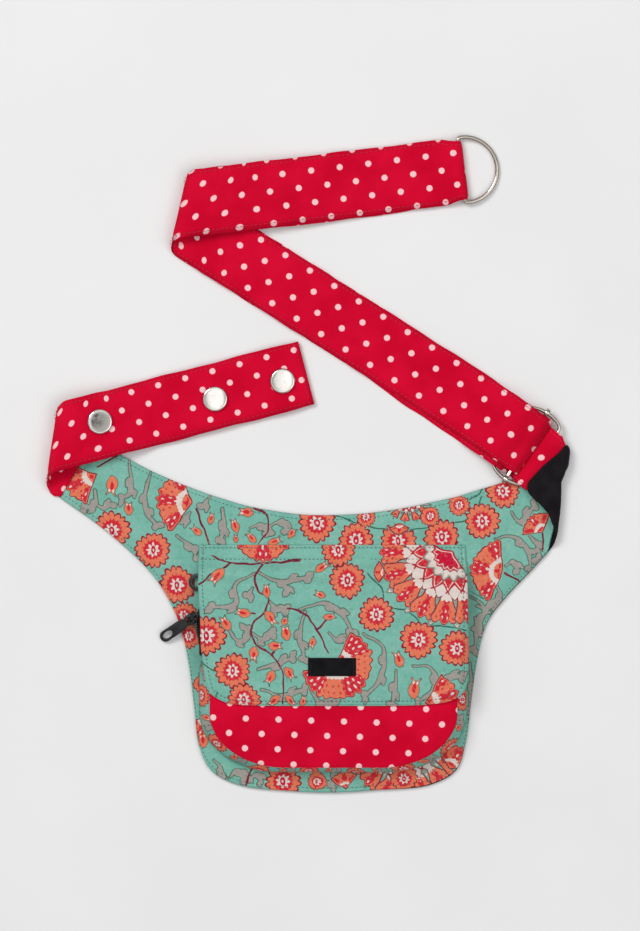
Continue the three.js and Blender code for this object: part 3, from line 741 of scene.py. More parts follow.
    def bud(self, x, y, long, toward):
        """A small bell: a narrow foot, a full middle and a flared, notched mouth."""
        ahead = facing(toward) * (1, -1)
        where = self.near(x, y, long)
        right, down = self.x[where] - x, self.y[where] - y
        along = (right * ahead[0] + down * ahead[1]) / long + 0.5
        across = np.abs(right * ahead[1] - down * ahead[0])
        middle = 0.2 * np.sin(math.pi * np.clip(along / 0.8, 0, 1))
        girth = long * (0.07 + middle + 0.17 * ease((along - 0.6) / 0.4))
        mouth = (along - 1) * long + long * 0.2 * np.abs(np.cos(across / long * 7))
        body = np.maximum(np.maximum(across - girth, -along * long), mouth)
        self.cover(where, body - 0.8)
        self.put("leaf_edge", where, body - 0.8)
        self.put("petal", where, body)
        self.put("blush", where, np.hypot(across * 1.9, (along - 0.5) * long * 0.75) - long * 0.17)
        self.put("pale", where, np.hypot(across - long * 0.1, (along - 0.75) * long * 0.6) - long * 0.05)

    def petals(self, x, y, size, toward, spread, count, row):
        """One row of pointed petals round a centre."""
        reach, girth, shift, rim, fill, heart, deep = row
        where, far, off = self.fan_polar(x, y, size * 1.2, toward)
        half = math.radians(spread)
        step = 2 * half / count
        centre = (np.round(off / step + shift) - shift) * step
        ahead = np.clip(far * np.cos(off - centre) / (size * reach), 0, 1)
        across = np.abs(far * np.sin(off - centre))
        full = size * girth * 2.4 * ahead**0.6 * (1 - ahead) ** 0.75
        beyond = far * np.cos(off - centre) - size * reach
        inside = (np.abs(off) - half - step * 0.4) * far
        petal = np.maximum(np.maximum(across - full, beyond), inside)
        self.cover(where, petal - 0.8)
        self.put(rim, where, petal - 0.8)
        self.put(fill, where, petal)
        self.put("pale", where, np.abs(petal + 1.7) - 0.55)
        self.put(heart, where, petal + deep)

    def lotus(self, x, y, size, toward, spread, count):
        """A great flower: grey sepals, small fans round a pale ring, and rows of petals in its heart."""
        sepals, *heart = LOTUS_ROWS
        self.petals(x, y, size, toward, spread, count, sepals)
        for place in range(count):
            angle = toward + spread * ((2 * place + 1) / count - 1)
            foot = np.array([x, y]) + size * FAN_FOOT * facing(angle) * (1, -1)
            self.fan(*foot, size * FAN_REACH, angle, FAN_SPREAD, 3)
        for row in heart:
            self.petals(x, y, size, toward, spread, count, row)


# Round flowers on the chart: right, down, size
BASE_ROSETTES = (
    (112, 530, 19), (153, 550, 18), (177, 585, 19), (184, 616, 14), (189, 636, 13), (317, 523, 19),
    (356, 540, 18), (398, 541, 18), (442, 537, 18), (482, 521, 18), (503, 491, 17), (283, 781, 18),
    (404, 779, 14), (317, 781, 10), (366, 517, 10), (430, 516, 10), (459, 505, 11), (203, 684, 10),
)
FLAP_ROSETTES = (
    (207, 635, 20), (233, 670, 18), (244, 699, 17), (347, 580, 18), (376, 614, 18), (418, 639, 19),
    (456, 648, 18), (338, 550, 17),
)
# Carnations: right, down, size, way they face and half their spread in degrees
BASE_FANS = (
    (192, 503, 37, 172, 64), (97, 474, 35, 206, 46), (503, 572, 34, 170, 76), (543, 533, 22, 128, 58),
    (399, 523, 12, 270, 70), (206, 716, 24, 250, 50), (449, 770, 26, 60, 60), (346, 790, 20, 100, 48),
)
FLAP_FANS = (
    (336, 663, 38, -50, 118), (424, 702, 36, 18, 42), (386, 572, 13, 180, 60), (263, 531, 32, 270, 88),
)
# Stems, leaves and vines: points along each, right and down
BASE_STEMS = (
    ((117, 456), (106, 462), (97, 467)), ((197, 509), (205, 532), (213, 550), (231, 562)),
    ((254, 508), (265, 513), (268, 529), (258, 544)), ((505, 574), (513, 578), (521, 584)),
    ((543, 534), (545, 542), (544, 552)), ((255, 764), (249, 774), (246, 785)),
)
FLAP_STEMS = (
    ((300, 560), (264, 563), (231, 563), (212, 556)),
    ((264, 563), (255, 576), (258, 590), (268, 597), (265, 611), (252, 624), (255, 642),
     (272, 654), (282, 670), (283, 703)),
    ((287, 608), (301, 611), (317, 629), (328, 652)), ((317, 629), (329, 617)),
    ((200, 584), (213, 573), (230, 564)), ((255, 613), (244, 613)), ((272, 654), (278, 645)),
)
BASE_LEAVES = (
    ((129, 461), (131, 478), (130, 493), (121, 500)), ((151, 472), (145, 497), (149, 516), (158, 526)),
    ((95, 490), (95, 505), (84, 508)), ((95, 505), (104, 508), (112, 503)),
    ((222, 508), (224, 523), (221, 541)), ((250, 528), (261, 525), (268, 533)),
    ((270, 527), (282, 521), (287, 531)), ((177, 536), (190, 546), (199, 557)),
    ((210, 496), (203, 507)), ((190, 512), (183, 522)), ((511, 512), (520, 522), (534, 505)),
    ((495, 538), (514, 537), (529, 554), (530, 571)), ((470, 596), (484, 609), (478, 628), (474, 652)),
    ((228, 778), (237, 771), (246, 780)), ((248, 781), (256, 775), (262, 782)),
    ((470, 664), (472, 690), (468, 712)), ((205, 650), (207, 664), (205, 676)),
    ((214, 760), (221, 770), (218, 780)), ((505, 566), (513, 562), (518, 571)),
    ((497, 586), (500, 598), (494, 606)), ((476, 606), (486, 609), (496, 604)), ((475, 618), (477, 628)),
    ((529, 536), (537, 543), (539, 551)), ((541, 552), (538, 562)), ((326, 768), (336, 776), (332, 786)),
)
FLAP_LEAVES = (
    ((255, 573), (235, 585), (236, 603), (210, 607)), ((258, 572), (279, 581), (309, 577)),
    ((283, 580), (288, 592)), ((269, 600), (277, 609), (286, 609)), ((252, 632), (263, 639), (273, 633)),
    ((258, 668), (276, 664), (293, 656)), ((262, 688), (282, 695), (305, 688)),
    ((229, 629), (238, 640), (248, 637), (246, 627)), ((305, 611), (300, 634), (305, 659)),
    ((299, 609), (325, 603), (344, 616), (352, 632)), ((363, 633), (382, 646), (381, 675), (364, 697)),
    ((413, 665), (430, 667), (435, 684), (417, 703)), ((396, 669), (394, 690), (392, 704)),
    ((434, 684), (447, 676), (462, 676)), ((312, 692), (320, 701), (334, 703)), ((253, 588), (248, 596)),
    ((329, 632), (337, 640), (346, 638)),
)
# Buds: right, down, length, way they face in degrees
BASE_BUDS = (
    (211, 518, 11, 80), (196, 530, 12, 140), (235, 525, 14, 110), (246, 512, 15, 175), (292, 533, 12, 60),
    (251, 537, 12, 130), (275, 541, 14, 20), (220, 549, 11, 80), (129, 508, 14, 90), (203, 554, 12, 160),
    (112, 486, 20, 265), (236, 538, 9, 90), (205, 700, 16, 80), (203, 740, 16, 100), (472, 720, 12, 80),
)
FLAP_BUDS = (
    (217, 576, 19, 230), (267, 590, 13, 90), (243, 612, 16, 165), (271, 618, 17, 305), (226, 622, 15, 120),
    (286, 632, 15, 100), (312, 642, 12, 250), (276, 645, 15, 0), (254, 654, 16, 265), (270, 677, 16, 240),
    (290, 673, 15, 310), (322, 567, 15, 35), (274, 700, 15, 230), (291, 700, 13, 310), (330, 616, 12, 15),
    (398, 658, 16, 110), (414, 687, 21, 80), (320, 594, 12, 160), (303, 700, 12, 80), (285, 620, 9, 80),
)
BASE_VINES = (
    ((336, 515), (356, 522), (384, 529), (418, 529), (445, 525), (472, 516), (482, 496)),
    ((470, 590), (490, 602), (510, 600)), ((470, 500), (478, 494), (484, 488)),
    ((300, 768), (318, 762), (333, 772)),
)
FLAP_VINES = (
    ((367, 573), (382, 589), (385, 605), (407, 610), (422, 624)), ((430, 625), (448, 626), (466, 630)),
    ((196, 655), (210, 668), (220, 672)), ((218, 690), (216, 700), (222, 706)),
)
# Great flowers: right, down, size, way they face and half their spread in degrees, petals in a row
BASE_LOTUS = ((405, 742, 62, 270, 75, 7), (408, 497, 26, 262, 70, 5))
FLAP_LOTUS = ((452, 552, 76, 232, 62, 6),)
BASE_PRINT = {
    "vines": BASE_VINES, "leaves": BASE_LEAVES, "stems": BASE_STEMS, "lotuses": BASE_LOTUS,
    "rosettes": BASE_ROSETTES, "fans": BASE_FANS, "buds": BASE_BUDS,
}
FLAP_PRINT = {
    "vines": FLAP_VINES, "leaves": FLAP_LEAVES, "stems": FLAP_STEMS, "lotuses": FLAP_LOTUS,
    "rosettes": FLAP_ROSETTES, "fans": FLAP_FANS, "buds": FLAP_BUDS,
}
PRINT_SEED = 61
LEAF_WIDE = 3.2
ROSETTE_TURN = 0.7


def print_fields(x, y, motifs):
    chart = Print(x, y, PRINT_SEED)
    for vine in motifs["vines"]:
        chart.line("vine", vine, 0.8, 0.8)
    for leaf in motifs["leaves"]:
        chart.scroll(leaf, LEAF_WIDE)
    for stem in motifs["stems"]:
        chart.line("stem", stem, 1.2, 0.8)
    for row in motifs["lotuses"]:
        chart.lotus(*row)
    for place, row in enumerate(motifs["rosettes"]):
        chart.rosette(*row, turn=ROSETTE_TURN * place)
    for row in motifs["fans"]:
        chart.fan(*row)
    for row in motifs["buds"]:
        chart.bud(*row)
    return chart.fields


# Body: two panels of one outline, given by lines from its top edge to its lower edge, each end as x, y
BODY_TOP = np.array([
    (-131.5, 11.5), (-114.5, 5.5), (-96, -4), (-82, -10.2), (-70, -15), (-60, -18.6), (-50, -21.8),
    (-42, -24.2), (-34, -26.2), (-24, -28), (-5, -30.6), (14.5, -31), (34, -30), (52, -27.7), (62, -25.9),
    (70, -24.2), (79, -22.3), (90, -19.8), (102, -16), (115, -12), (131, -6.6), (146, 3.6), (151.2, 7.4),
    (157.1, 11.3), (162, 4.1), (174.8, -14.9),
])
BODY_LOW = np.array([
    (-150.5, -20.6), (-126.7, -37.6), (-102.4, -58.8), (-90.3, -73.3), (-79.4, -94.5), (-73.3, -118.8),
    (-69.5, -148), (-66.7, -170.3), (-59.4, -185.5), (-43, -194.2), (-10, -198.2), (14.5, -199),
    (40, -197.6), (73, -194.5), (89.1, -185.5), (95, -168), (98, -146), (102.4, -115.8), (108, -96),
    (120, -80), (131, -68.4), (140.5, -58.9), (146, -53.3), (151, -48), (157.5, -40.8), (176, -19.6),
])
WING_FOLD = {
    "at": np.array([149.5, -9.7]), "toward": -5.4, "axis": FRONT_OVER + 1.8, "radius": 3.6, "slip": 0,
}
SHOWN_EDGE = 24.0
EDGE_SHARE = 0.38
BODY_COLUMNS = 112
BODY_STEP = 0.8
SEAM_IN = 2.6
EDGE_INSET = 0.1
BACK_SHOWS = 0.5
BACK_SHOWS_FROM = 40.0
BACK_SHOWS_RUN = 40.0
FOLDED_INSET = 2.6
FOLDED_INSET_RUN = 6
END_TUCK = 3.0
END_TUCK_RUN = 9.0
# Unevenness of the cloth: seed, length and height of its waves
BODY_CREASES = (3, 26, 0.28)
BODY_PUCKERS = (5, 7, 0.09)
BODY_SWELL = 0.8
BODY_SOFT_RUN = 7
AROUND_POCKET = 2
CALM_BY_POCKET = 8
CALM_BY_FOLD = 12
CALM_FOLD_FROM = 2
SEAM_PRESS = 0.75
SEAM_WIDE = 0.8
EDGE_THIN = 0.45
EDGE_THIN_RUN = 1.2


def body_places():
    places = [np.zeros(1)]
    for line in range(len(BODY_TOP) - 1):
        long = max(np.linalg.norm(edge[line + 1] - edge[line]) for edge in (BODY_TOP, BODY_LOW))
        steps = whole_steps(long, BODY_STEP)
        places.append(line + np.arange(1, steps + 1) / steps)
    return np.concatenate(places)


def body_flat():
    """The panels' flat points, close together along both edges, and how far each is from an edge."""
    places = body_places()
    top = through(BODY_TOP, places)[:, None]
    low = through(BODY_LOW, places)[:, None]
    long = np.linalg.norm(low - top, axis=2)
    part = np.linspace(0, 1, BODY_COLUMNS + 1)[None]
    run = np.minimum(SHOWN_EDGE / long, EDGE_SHARE)
    rise = run / EDGE_SHARE
    middle = run + (part - EDGE_SHARE) * (1 - 2 * run) / (1 - 2 * EDGE_SHARE)
    spread = np.where(part < EDGE_SHARE, part * rise,
                      np.where(part > 1 - EDGE_SHARE, 1 - (1 - part) * rise, middle))
    flat = top + (low - top) * spread[..., None]
    shown = BACK_SHOWS * ease((flat[..., 0] - BACK_SHOWS_FROM) / BACK_SHOWS_RUN) * ease(2 * spread - 1)
    inward = (low - top) / long[..., None] * (1 - 2 * spread)[..., None]
    ends = np.minimum(np.linalg.norm(flat - flat[:1], axis=2), np.linalg.norm(flat - flat[-1:], axis=2))
    edge = np.minimum(np.minimum(spread, 1 - spread) * long, ends)
    return flat, edge, inward, EDGE_INSET + shown


FOOT = {"left": -66.5, "right": 95.6, "low": -186.4, "high": -80.6,
        "low_corner": (48, 36), "high_corner": (14, 14)}
RIM = {"left": -60.0, "right": 89.7, "low": -183.5, "high": -83.5,
       "low_corner": (46, 33), "high_corner": (12, 12)}
SEWN_TOP = -49.0
body_xy, body_edge, inward, inset = body_flat()
body_x, body_y = body_xy[..., 0], body_xy[..., 1]
under_pocket = np.maximum.reduce([
    FOOT["left"] - body_x, body_x - FOOT["right"], FOOT["low"] - body_y, body_y - SEWN_TOP,
]) - AROUND_POCKET
folded = (body_xy - WING_FOLD["at"]) @ facing(WING_FOLD["toward"])
front_inset = inward * (inset + FOLDED_INSET * ease(folded / FOLDED_INSET_RUN))[..., None]
from_end = np.linalg.norm(body_xy - body_xy[-1], axis=2)
off_end = body_xy[-2] - body_xy[-1]
off_end /= np.linalg.norm(off_end, axis=1)[:, None]
front_inset += (END_TUCK * (1 - ease(from_end / END_TUCK_RUN)))[..., None] * off_end
open_cloth = ease(under_pocket / CALM_BY_POCKET) * ease((-folded - CALM_FOLD_FROM) / CALM_BY_FOLD)
seam_rest = 1 - SEAM_PRESS * bell(body_edge, SEAM_IN, SEAM_WIDE)
soft = ease(body_edge / BODY_SOFT_RUN)
swell = open_cloth * seam_rest * (
    (BODY_SWELL + ripple(body_x, body_y, *BODY_CREASES)) * soft + ripple(body_x, body_y, *BODY_PUCKERS)
)
swell = np.maximum(swell, 0)
thin_edge = EDGE_THIN * (1 - ease(body_edge / EDGE_THIN_RUN))

# The folded wing's end and side: places along the fold, and how far out the cloth lies there
WING_HEM = 7.0
WING_HEM_RUN = 14
WING_END_FROM = 1
WING_END_RUN = 6
WING_SIDE_RISE = 12
WING_SIDE_FROM = 6
WING_SIDE_FALL = 14
WING_END_PLACES = (-38, -27, -21, -17, -14, -12, -10, -7.4, -5, -2, 4, 10, 15, 18.5, 21.6)
WING_END_OUT = (0, -2.4, -3.6, -2.5, -1.0, 0.6, 1.3, 0.8, 1.9, 2.4, 2.8, 3.3, 3.4, 3.3, 3.0)
WING_SIDE_PLACES = (-46, -40, -30, -17, -6, -1, 4, 10, 17, 24)
WING_SIDE_OUT = (-0.8, -1.6, -0.3, 0, -0.4, -0.8, 0.6, 2.4, 2.6, 1.2)
fold_along = (body_xy - WING_FOLD["at"]) @ facing(WING_FOLD["toward"] + 90)
wing_end = eased(fold_along, WING_END_PLACES, WING_END_OUT)
wing_side = eased(fold_along, WING_SIDE_PLACES, WING_SIDE_OUT)
wing_side = wing_side * ease((folded + WING_SIDE_RISE) / WING_SIDE_RISE)
wing_side = wing_side * (1 - ease((folded - WING_SIDE_FROM) / WING_SIDE_FALL))


def body_points(height, hem, inset):
    """The panels' points, folded at the right wing; the hem turns the inner cloth's end back under."""
    across = facing(WING_FOLD["toward"])
    out = wing_end * ease((folded - WING_END_FROM) / WING_END_RUN) - hem * ease(folded / WING_HEM_RUN)
    moved = body_xy + inset + out[..., None] * across
    flat = np.concatenate([moved, np.broadcast_to(height, body_edge.shape)[..., None]], axis=2)
    points = roll(flat, WING_FOLD)
    points[..., :2] += wing_side[..., None] * across
    return points


back_panel = cloth_piece("body_back", body_points(PANEL - thin_edge * 0.5, 0, 0),
                         body_points(thin_edge * 0.5, 0, 0))
dress(back_panel, BLACK_COTTON, "bag", "black_cloth", "back_panel")
front_panel = cloth_piece(
    "body_front", body_points(FRONT_OVER + swell - thin_edge, WING_HEM, front_inset),
    body_points(FRONT_UNDER, WING_HEM, front_inset), values=print_fields(body_x, body_y, BASE_PRINT),
)
dress(front_panel, PRINT_COTTON, "bag", "print_cloth", "front_panel")


SEAM_STEP = 0.1
SEAM_STOP = 0.5
SEAM_LIFT = 0.18


def along_edge(edge, other, inward):
    """A seam line inside one edge of the body, on top of the cloth."""
    places = np.arange(0, len(edge) - 1 + SEAM_STEP / 2, SEAM_STEP)
    line, across = through(edge, places), through(other, places)
    away = across - line
    line = line + inward * away / np.linalg.norm(away, axis=1)[:, None]
    keep = (line - WING_FOLD["at"]) @ facing(WING_FOLD["toward"]) < -SEAM_STOP
    line = line[keep]
    return np.column_stack([line, np.full(len(line), FRONT_OVER + SEAM_LIFT)])


body_seams = [along_edge(BODY_TOP, BODY_LOW, SEAM_IN), along_edge(BODY_LOW, BODY_TOP, SEAM_IN)]
STITCH = {"Pitch": 2.5, "Long": 1.5, "Wide": 0.42, "Tall": 0.42}
row_piece("body_stitches", THREAD_ROW, body_seams, STITCH, DARK_THREAD, "bag", "print_cloth")


# Pocket
RING_STEPS = {"high": 10, "high_corner": 5, "side": 8, "low_corner": 7, "low": 8}
BULGE = 1.2
SLIDER_PUSH = 4.4
SLIDER_Y = -94.5
SLIDER_RUN = 13.0


def ring_outline(box):
    """The pocket's outline, from the right end of its mouth round to the left."""
    points = []

    def straight(x0, y0, x1, y1, steps):
        for step in range(steps):
            points.append((x0 + (x1 - x0) * step / steps, y0 + (y1 - y0) * step / steps))

    def corner(x, y, size, start, steps):
        for step in range(steps):
            arm = facing(start + 90 * step / steps)
            points.append((x + size[0] * arm[0], y + size[1] * arm[1]))

    left, right, low, high = box["left"], box["right"], box["low"], box["high"]
    wide, small = box["low_corner"], box["high_corner"]
    inner_high, inner_low = high - small[1], low + wide[1]
    straight(right - small[0], high, left + small[0], high, RING_STEPS["high"])
    corner(left + small[0], inner_high, small, 90, RING_STEPS["high_corner"])
    straight(left, inner_high, left, inner_low, RING_STEPS["side"])
    corner(left + wide[0], inner_low, wide, 180, RING_STEPS["low_corner"])
    straight(left + wide[0], low, right - wide[0], low, RING_STEPS["low"])
    corner(right - wide[0], inner_low, wide, 270, RING_STEPS["low_corner"])
    straight(right, inner_low, right, inner_high, RING_STEPS["side"])
    corner(right - small[0], inner_high, small, 0, RING_STEPS["high_corner"])
    return np.array(points)


foot_ring = ring_outline(FOOT)
rim_ring = ring_outline(RIM)
RING_COUNT = len(foot_ring)
ZIP_STOP = RING_STEPS["high"] + RING_STEPS["high_corner"] + 3
ZIP_MEET = ZIP_STOP - 1


def wall_points(places, part, out):
    """Points of the pocket's wall: places round it, parts of its height, and a step outward."""
    def smooth(ring):
        rows = np.vstack([ring[-2:], ring, ring[:3]])
        return through(rows, np.asarray(places) % RING_COUNT + 2)

    foot, rim = smooth(foot_ring), smooth(rim_ring)
    ahead = leads(foot)
    outward = np.stack([ahead[:, 1], -ahead[:, 0]], axis=1)
    flat = foot[:, None] + (rim - foot)[:, None] * part[..., None]
    pushed = SLIDER_PUSH * bell(foot[:, 1], SLIDER_Y, SLIDER_RUN) * (foot[:, 0] < 0)
    push = (BULGE + pushed[:, None]) * np.sin(math.pi * part) + out
    flat = flat + outward[:, None] * push[..., None]
    height = POCKET_FOOT + POCKET_DEEP * part
    return np.concatenate([flat, height[..., None]], axis=2)


def wall_cloth(first, last, low, high, thick, per_place, columns):
    """Outer and inner points of a cloth round the wall, between two lines given as parts of its height."""
    places = np.linspace(first, last, (last - first) * per_place + 1)
    share = np.linspace(0, 1, columns + 1)[None]
    part = low(places)[:, None] + (high(places) - low(places))[:, None] * share
    return places, part, wall_points(places, part, 0 * part), wall_points(places, part, 0 * part - thick)


def flat_zero(places):
    return np.zeros(len(places))


def flat_one(places):
    return np.ones(len(places))


GUSSET_PER_PLACE = 12
GUSSET_COLUMNS = 24
GUSSET_CREASES = (11, 14, 0.22)
GUSSET_SEAMS = (0.07, 0.93)
GUSSET_SEAM_WIDE = 0.05
GUSSET_SEAM_DIP = 0.25
places, part, outer, inner = wall_cloth(
    ZIP_STOP + 1, RING_COUNT - 1, flat_zero, flat_one, WALL, GUSSET_PER_PLACE, GUSSET_COLUMNS,
)
gusset_along = np.interp(places, np.arange(RING_COUNT), run_lengths(foot_ring))[:, None] + 0 * part
gusset_up = part * POCKET_DEEP
seam_dip = sum(bell(part, seam, GUSSET_SEAM_WIDE) for seam in GUSSET_SEAMS)
push = ripple(gusset_along, gusset_up, *GUSSET_CREASES) * np.sin(math.pi * part) - GUSSET_SEAM_DIP * seam_dip
sideways = (outer - inner) / WALL
outer = outer + sideways * push[..., None]
GUSSET_BLOOM = 31.0
GUSSET_SEED = 71


def gusset_fields():
    """A narrow row of flowers, leaves and buds along the pocket's side."""
    chart = Print(gusset_along, gusset_up, GUSSET_SEED)
    long = gusset_along.max()
    for place in range(int(long / GUSSET_BLOOM) + 1):
        right = CHART_X + CHART * (place + 0.5) * GUSSET_BLOOM
        chart.rosette(right, CHART_Y - CHART * (4.0 + 3.0 * (place % 2)), 12, turn=place)
        leaf = ((right + 16, CHART_Y - 2), (right + 24, CHART_Y - 9), (right + 33, CHART_Y - 14))
        chart.scroll(leaf, 2.6)
        chart.bud(right + 22, CHART_Y - 14, 11, 60 + 40 * (place % 3))
    return chart.fields


gusset = cloth_piece("pocket_side", outer, inner, values=gusset_fields())
dress(gusset, PRINT_COTTON, "bag", "print_cloth", "pocket_gusset")

TAPE_OPEN = 0.22
TAPE_MEET = 0.485


def base_top(places):
    return TAPE_OPEN + (TAPE_MEET - TAPE_OPEN) * ease((places - ZIP_MEET + 3) / 3)


def front_low(places):
    return 1 - base_top(places)


TAPE_THICK = 1.0
TAPE_GRID = (8, 8)
teeth_lines = []
for tape_name, node, low, high, tooth_edge in (
    ("pocket_tape_base", "pocket_zip_tape_base", flat_zero, base_top, base_top),
    ("pocket_tape_front", "pocket_zip_tape_front", front_low, flat_one, front_low),
):
    places, part, outer, inner = wall_cloth(0, ZIP_STOP, low, high, TAPE_THICK, *TAPE_GRID)
    tape = cloth_piece(tape_name, outer, inner)
    dress(tape, TAPE_COTTON, "bag", "black_cloth", node)
    edge_part = tooth_edge(places)[:, None]
    middle = wall_points(places, edge_part, 0 * edge_part - TAPE_THICK / 2)
    teeth_lines.append(middle[:, 0])
TEETH = {"Pitch": 1.5, "Long": 0.9, "Wide": 1.7, "Tall": 1.5}
row_piece("pocket_zip_teeth", TOOTH_ROW, teeth_lines, TEETH, TEETH_NYLON, "bag", "black_cloth")


def rim_edges():
    """Rows down the pocket's front: height on the front, left edge and right edge."""
    rows = []
    for steps, (wide, tall), start, edge in (
        (20, RIM["high_corner"], 90, RIM["high"] - RIM["high_corner"][1]),
        (48, RIM["low_corner"], 0, RIM["low"] + RIM["low_corner"][1]),
    ):
        for step in range(steps + 1):
            arm = facing(start - 90 * step / steps)
            inset = wide * (1 - arm[0])
            rows.append((edge + tall * arm[1], RIM["left"] + inset, RIM["right"] - inset))
    return np.array(rows)


def panel_grid(rows, spacing, columns):
    """Flat points of a panel between a left and a right edge, and how far each is from its edge."""
    lines = [rows[:1]]
    for before, after in zip(rows[:-1], rows[1:]):
        move = max(abs(after[0] - before[0]), 0.4 * abs(after[1] - before[1]))
        steps = whole_steps(move, spacing)
        parts = np.arange(1, steps + 1)[:, None] / steps
        lines.append(before + (after - before) * parts)
    lines = np.vstack(lines)
    share = np.linspace(0, 1, columns + 1)[None]
    x = lines[:, 1:2] + (lines[:, 2:3] - lines[:, 1:2]) * share
    y = np.broadcast_to(lines[:, :1], x.shape)
    outline = np.vstack([rows[:, [1, 0]], rows[::-1][:, [2, 0]]])
    return x, y, outline_far(x, y, outline)


def outline_far(x, y, outline):
    far = np.full(x.shape, np.inf)
    for start, end in zip(outline, np.roll(outline, -1, axis=0)):
        run = end - start
        size = max(float(run @ run), 1e-9)
        part = np.clip(((x - start[0]) * run[0] + (y - start[1]) * run[1]) / size, 0, 1)
        far = np.minimum(far, np.hypot(x - start[0] - part * run[0], y - start[1] - part * run[1]))
    return far


def dome(x, y):
    across = (x - RIM["left"]) / (RIM["right"] - RIM["left"])
    down = (y - RIM["low"]) / (RIM["high"] - RIM["low"])
    return DOME * np.sin(math.pi * np.clip(across, 0, 1)) * np.sin(math.pi * np.clip(down, 0, 1))


def stacked(x, y, z):
    return np.stack([x, y, np.broadcast_to(z, x.shape)], axis=2)


POCKET_STEP = 1.2
POCKET_COLUMNS = 176
POCKET_CREASES = (21, 22, 0.16)
POCKET_CREASE_RUN = 6
POCKET_SWELL = 0.5
POCKET_SWELL_RUN = 9
POCKET_TURN = 0.7
POCKET_TURN_RUN = 1.6
FLAP_REACH = -150
FLAP_REACH_RUN = 8
x, y, edge = panel_grid(rim_edges(), POCKET_STEP, POCKET_COLUMNS)
in_the_open = 1 - ease((y - FLAP_REACH) / FLAP_REACH_RUN)
pocket_swell = in_the_open * (
    POCKET_SWELL * ease(edge / POCKET_SWELL_RUN)
    + ripple(x, y, *POCKET_CREASES) * ease(edge / POCKET_CREASE_RUN)
)
pocket_turn = POCKET_TURN * (1 - ease(edge / POCKET_TURN_RUN))
pocket_height = POCKET_RIM + GAP + dome(x, y)
POCKET_DOTS = (3.8, 2.3)
POCKET_DOTS_TURN = -1.75
level = facing(POCKET_DOTS_TURN)
pocket_uv = np.stack([
    x * level[0] + y * level[1] + POCKET_DOTS[0],
    y * level[0] - x * level[1] + POCKET_DOTS[1],
], axis=2)
pocket_front = cloth_piece(
    "pocket_face", stacked(x, y, pocket_height + WALL + pocket_swell - pocket_turn),
    stacked(x, y, pocket_height), uv=pocket_uv,
)
dress(pocket_front, POCKET_COTTON, "bag", "red_cloth", "pocket_front")


# Flap: rows down it, each with its y, left edge and right edge
FLAP_EDGES = np.array([
    (-49, -66.5, 94.5), (-58, -67, 95.2), (-66, -67, 95.6), (-74, -67, 95.8), (-82, -66.6, 96),
    (-94, -65.8, 96.2), (-107, -65.6, 96.4), (-125, -63.5, 96.4), (-133, -61.8, 95.4), (-138, -60, 93.3),
    (-143, -52.7, 85.5), (-145.2, -44, 72), (-146, -20, 50),
])
FLAP_DOWN = (0, 9, 17, 25, 33, 42, 97)
FLAP_RISE = (POCKET_FOOT, POCKET_FOOT, 8, 13.2, FLAP_REST - 0.4, FLAP_REST, FLAP_REST)
FLAP_DROOP = 2.0
FLAP_DROOP_RUN = 6.5
FLAP_LIFT_FROM = 20
FLAP_LIFT_RUN = 25


def flap_height(x, y):
    down = FLAP_EDGES[0, 0] - y
    beyond = np.maximum(np.maximum(RIM["left"] - x, x - RIM["right"]), 0) / FLAP_DROOP_RUN
    lifted = ease((down - FLAP_LIFT_FROM) / FLAP_LIFT_RUN)
    return eased(down, FLAP_DOWN, FLAP_RISE) - lifted * FLAP_DROOP * beyond**2


flap_rows = through(FLAP_EDGES, np.linspace(0, len(FLAP_EDGES) - 1, 4 * len(FLAP_EDGES) - 3))
FLAP_STEP = 0.62
FLAP_COLUMNS = 252
FLAP_SEAM = 2.6
FLAP_SEAM_WIDE = 0.8
FLAP_SEAM_LIFT = 0.4
FLAP_ROW_WIDE = 0.7
FLAP_ROW_LIFT = 0.35
FLAP_ROW_IN = 1.5
FLAP_ROW_POINTS = 120
FLAP_SEAM_DIP = 0.3
FLAP_SWELL = 0.55
FLAP_SWELL_RUN = 7
FLAP_CREASE_RUN = 8
FLAP_TURN = 0.7
FLAP_TURN_RUN = 1.5
FLAP_STITCH_ROWS = (-50.6, -57.6)
FLAP_CREASES = (31, 34, 0.3)
FLAP_PUCKERS = (33, 8, 0.07)
x, y, edge = panel_grid(flap_rows, FLAP_STEP, FLAP_COLUMNS)
seam_line = bell(edge, FLAP_SEAM, FLAP_SEAM_WIDE)
top_rows = sum(bell(y, row_y, FLAP_ROW_WIDE) for row_y in FLAP_STITCH_ROWS)
flap_swell = (
    FLAP_SWELL * ease(edge / FLAP_SWELL_RUN)
    + ripple(x, y, *FLAP_CREASES) * ease(edge / FLAP_CREASE_RUN)
    + ripple(x, y, *FLAP_PUCKERS)
    - FLAP_SEAM_DIP * seam_line - FLAP_SEAM_DIP * top_rows
)
flap_turn = FLAP_TURN * (1 - ease(edge / FLAP_TURN_RUN))
flap_under = flap_height(x, y)
flap = cloth_piece(
    "flap_cloth", stacked(x, y, flap_under + WALL + flap_swell - flap_turn), stacked(x, y, flap_under),
    values=print_fields(x, y, FLAP_PRINT),
)
dress(flap, PRINT_COTTON, "bag", "print_cloth", "flap")


def inset_line(rows, inward):
    """The flap's outline moved inward, from its top left round to its top right."""
    outline = np.vstack([rows[:, [1, 0]], rows[::-1][:, [2, 0]]])
    ahead = leads(outline)
    return outline + inward * np.stack([-ahead[:, 1], ahead[:, 0]], axis=1)


def on_flap(line, lift):
    height = flap_height(line[:, 0], line[:, 1]) + WALL + lift
    return np.column_stack([line, height])


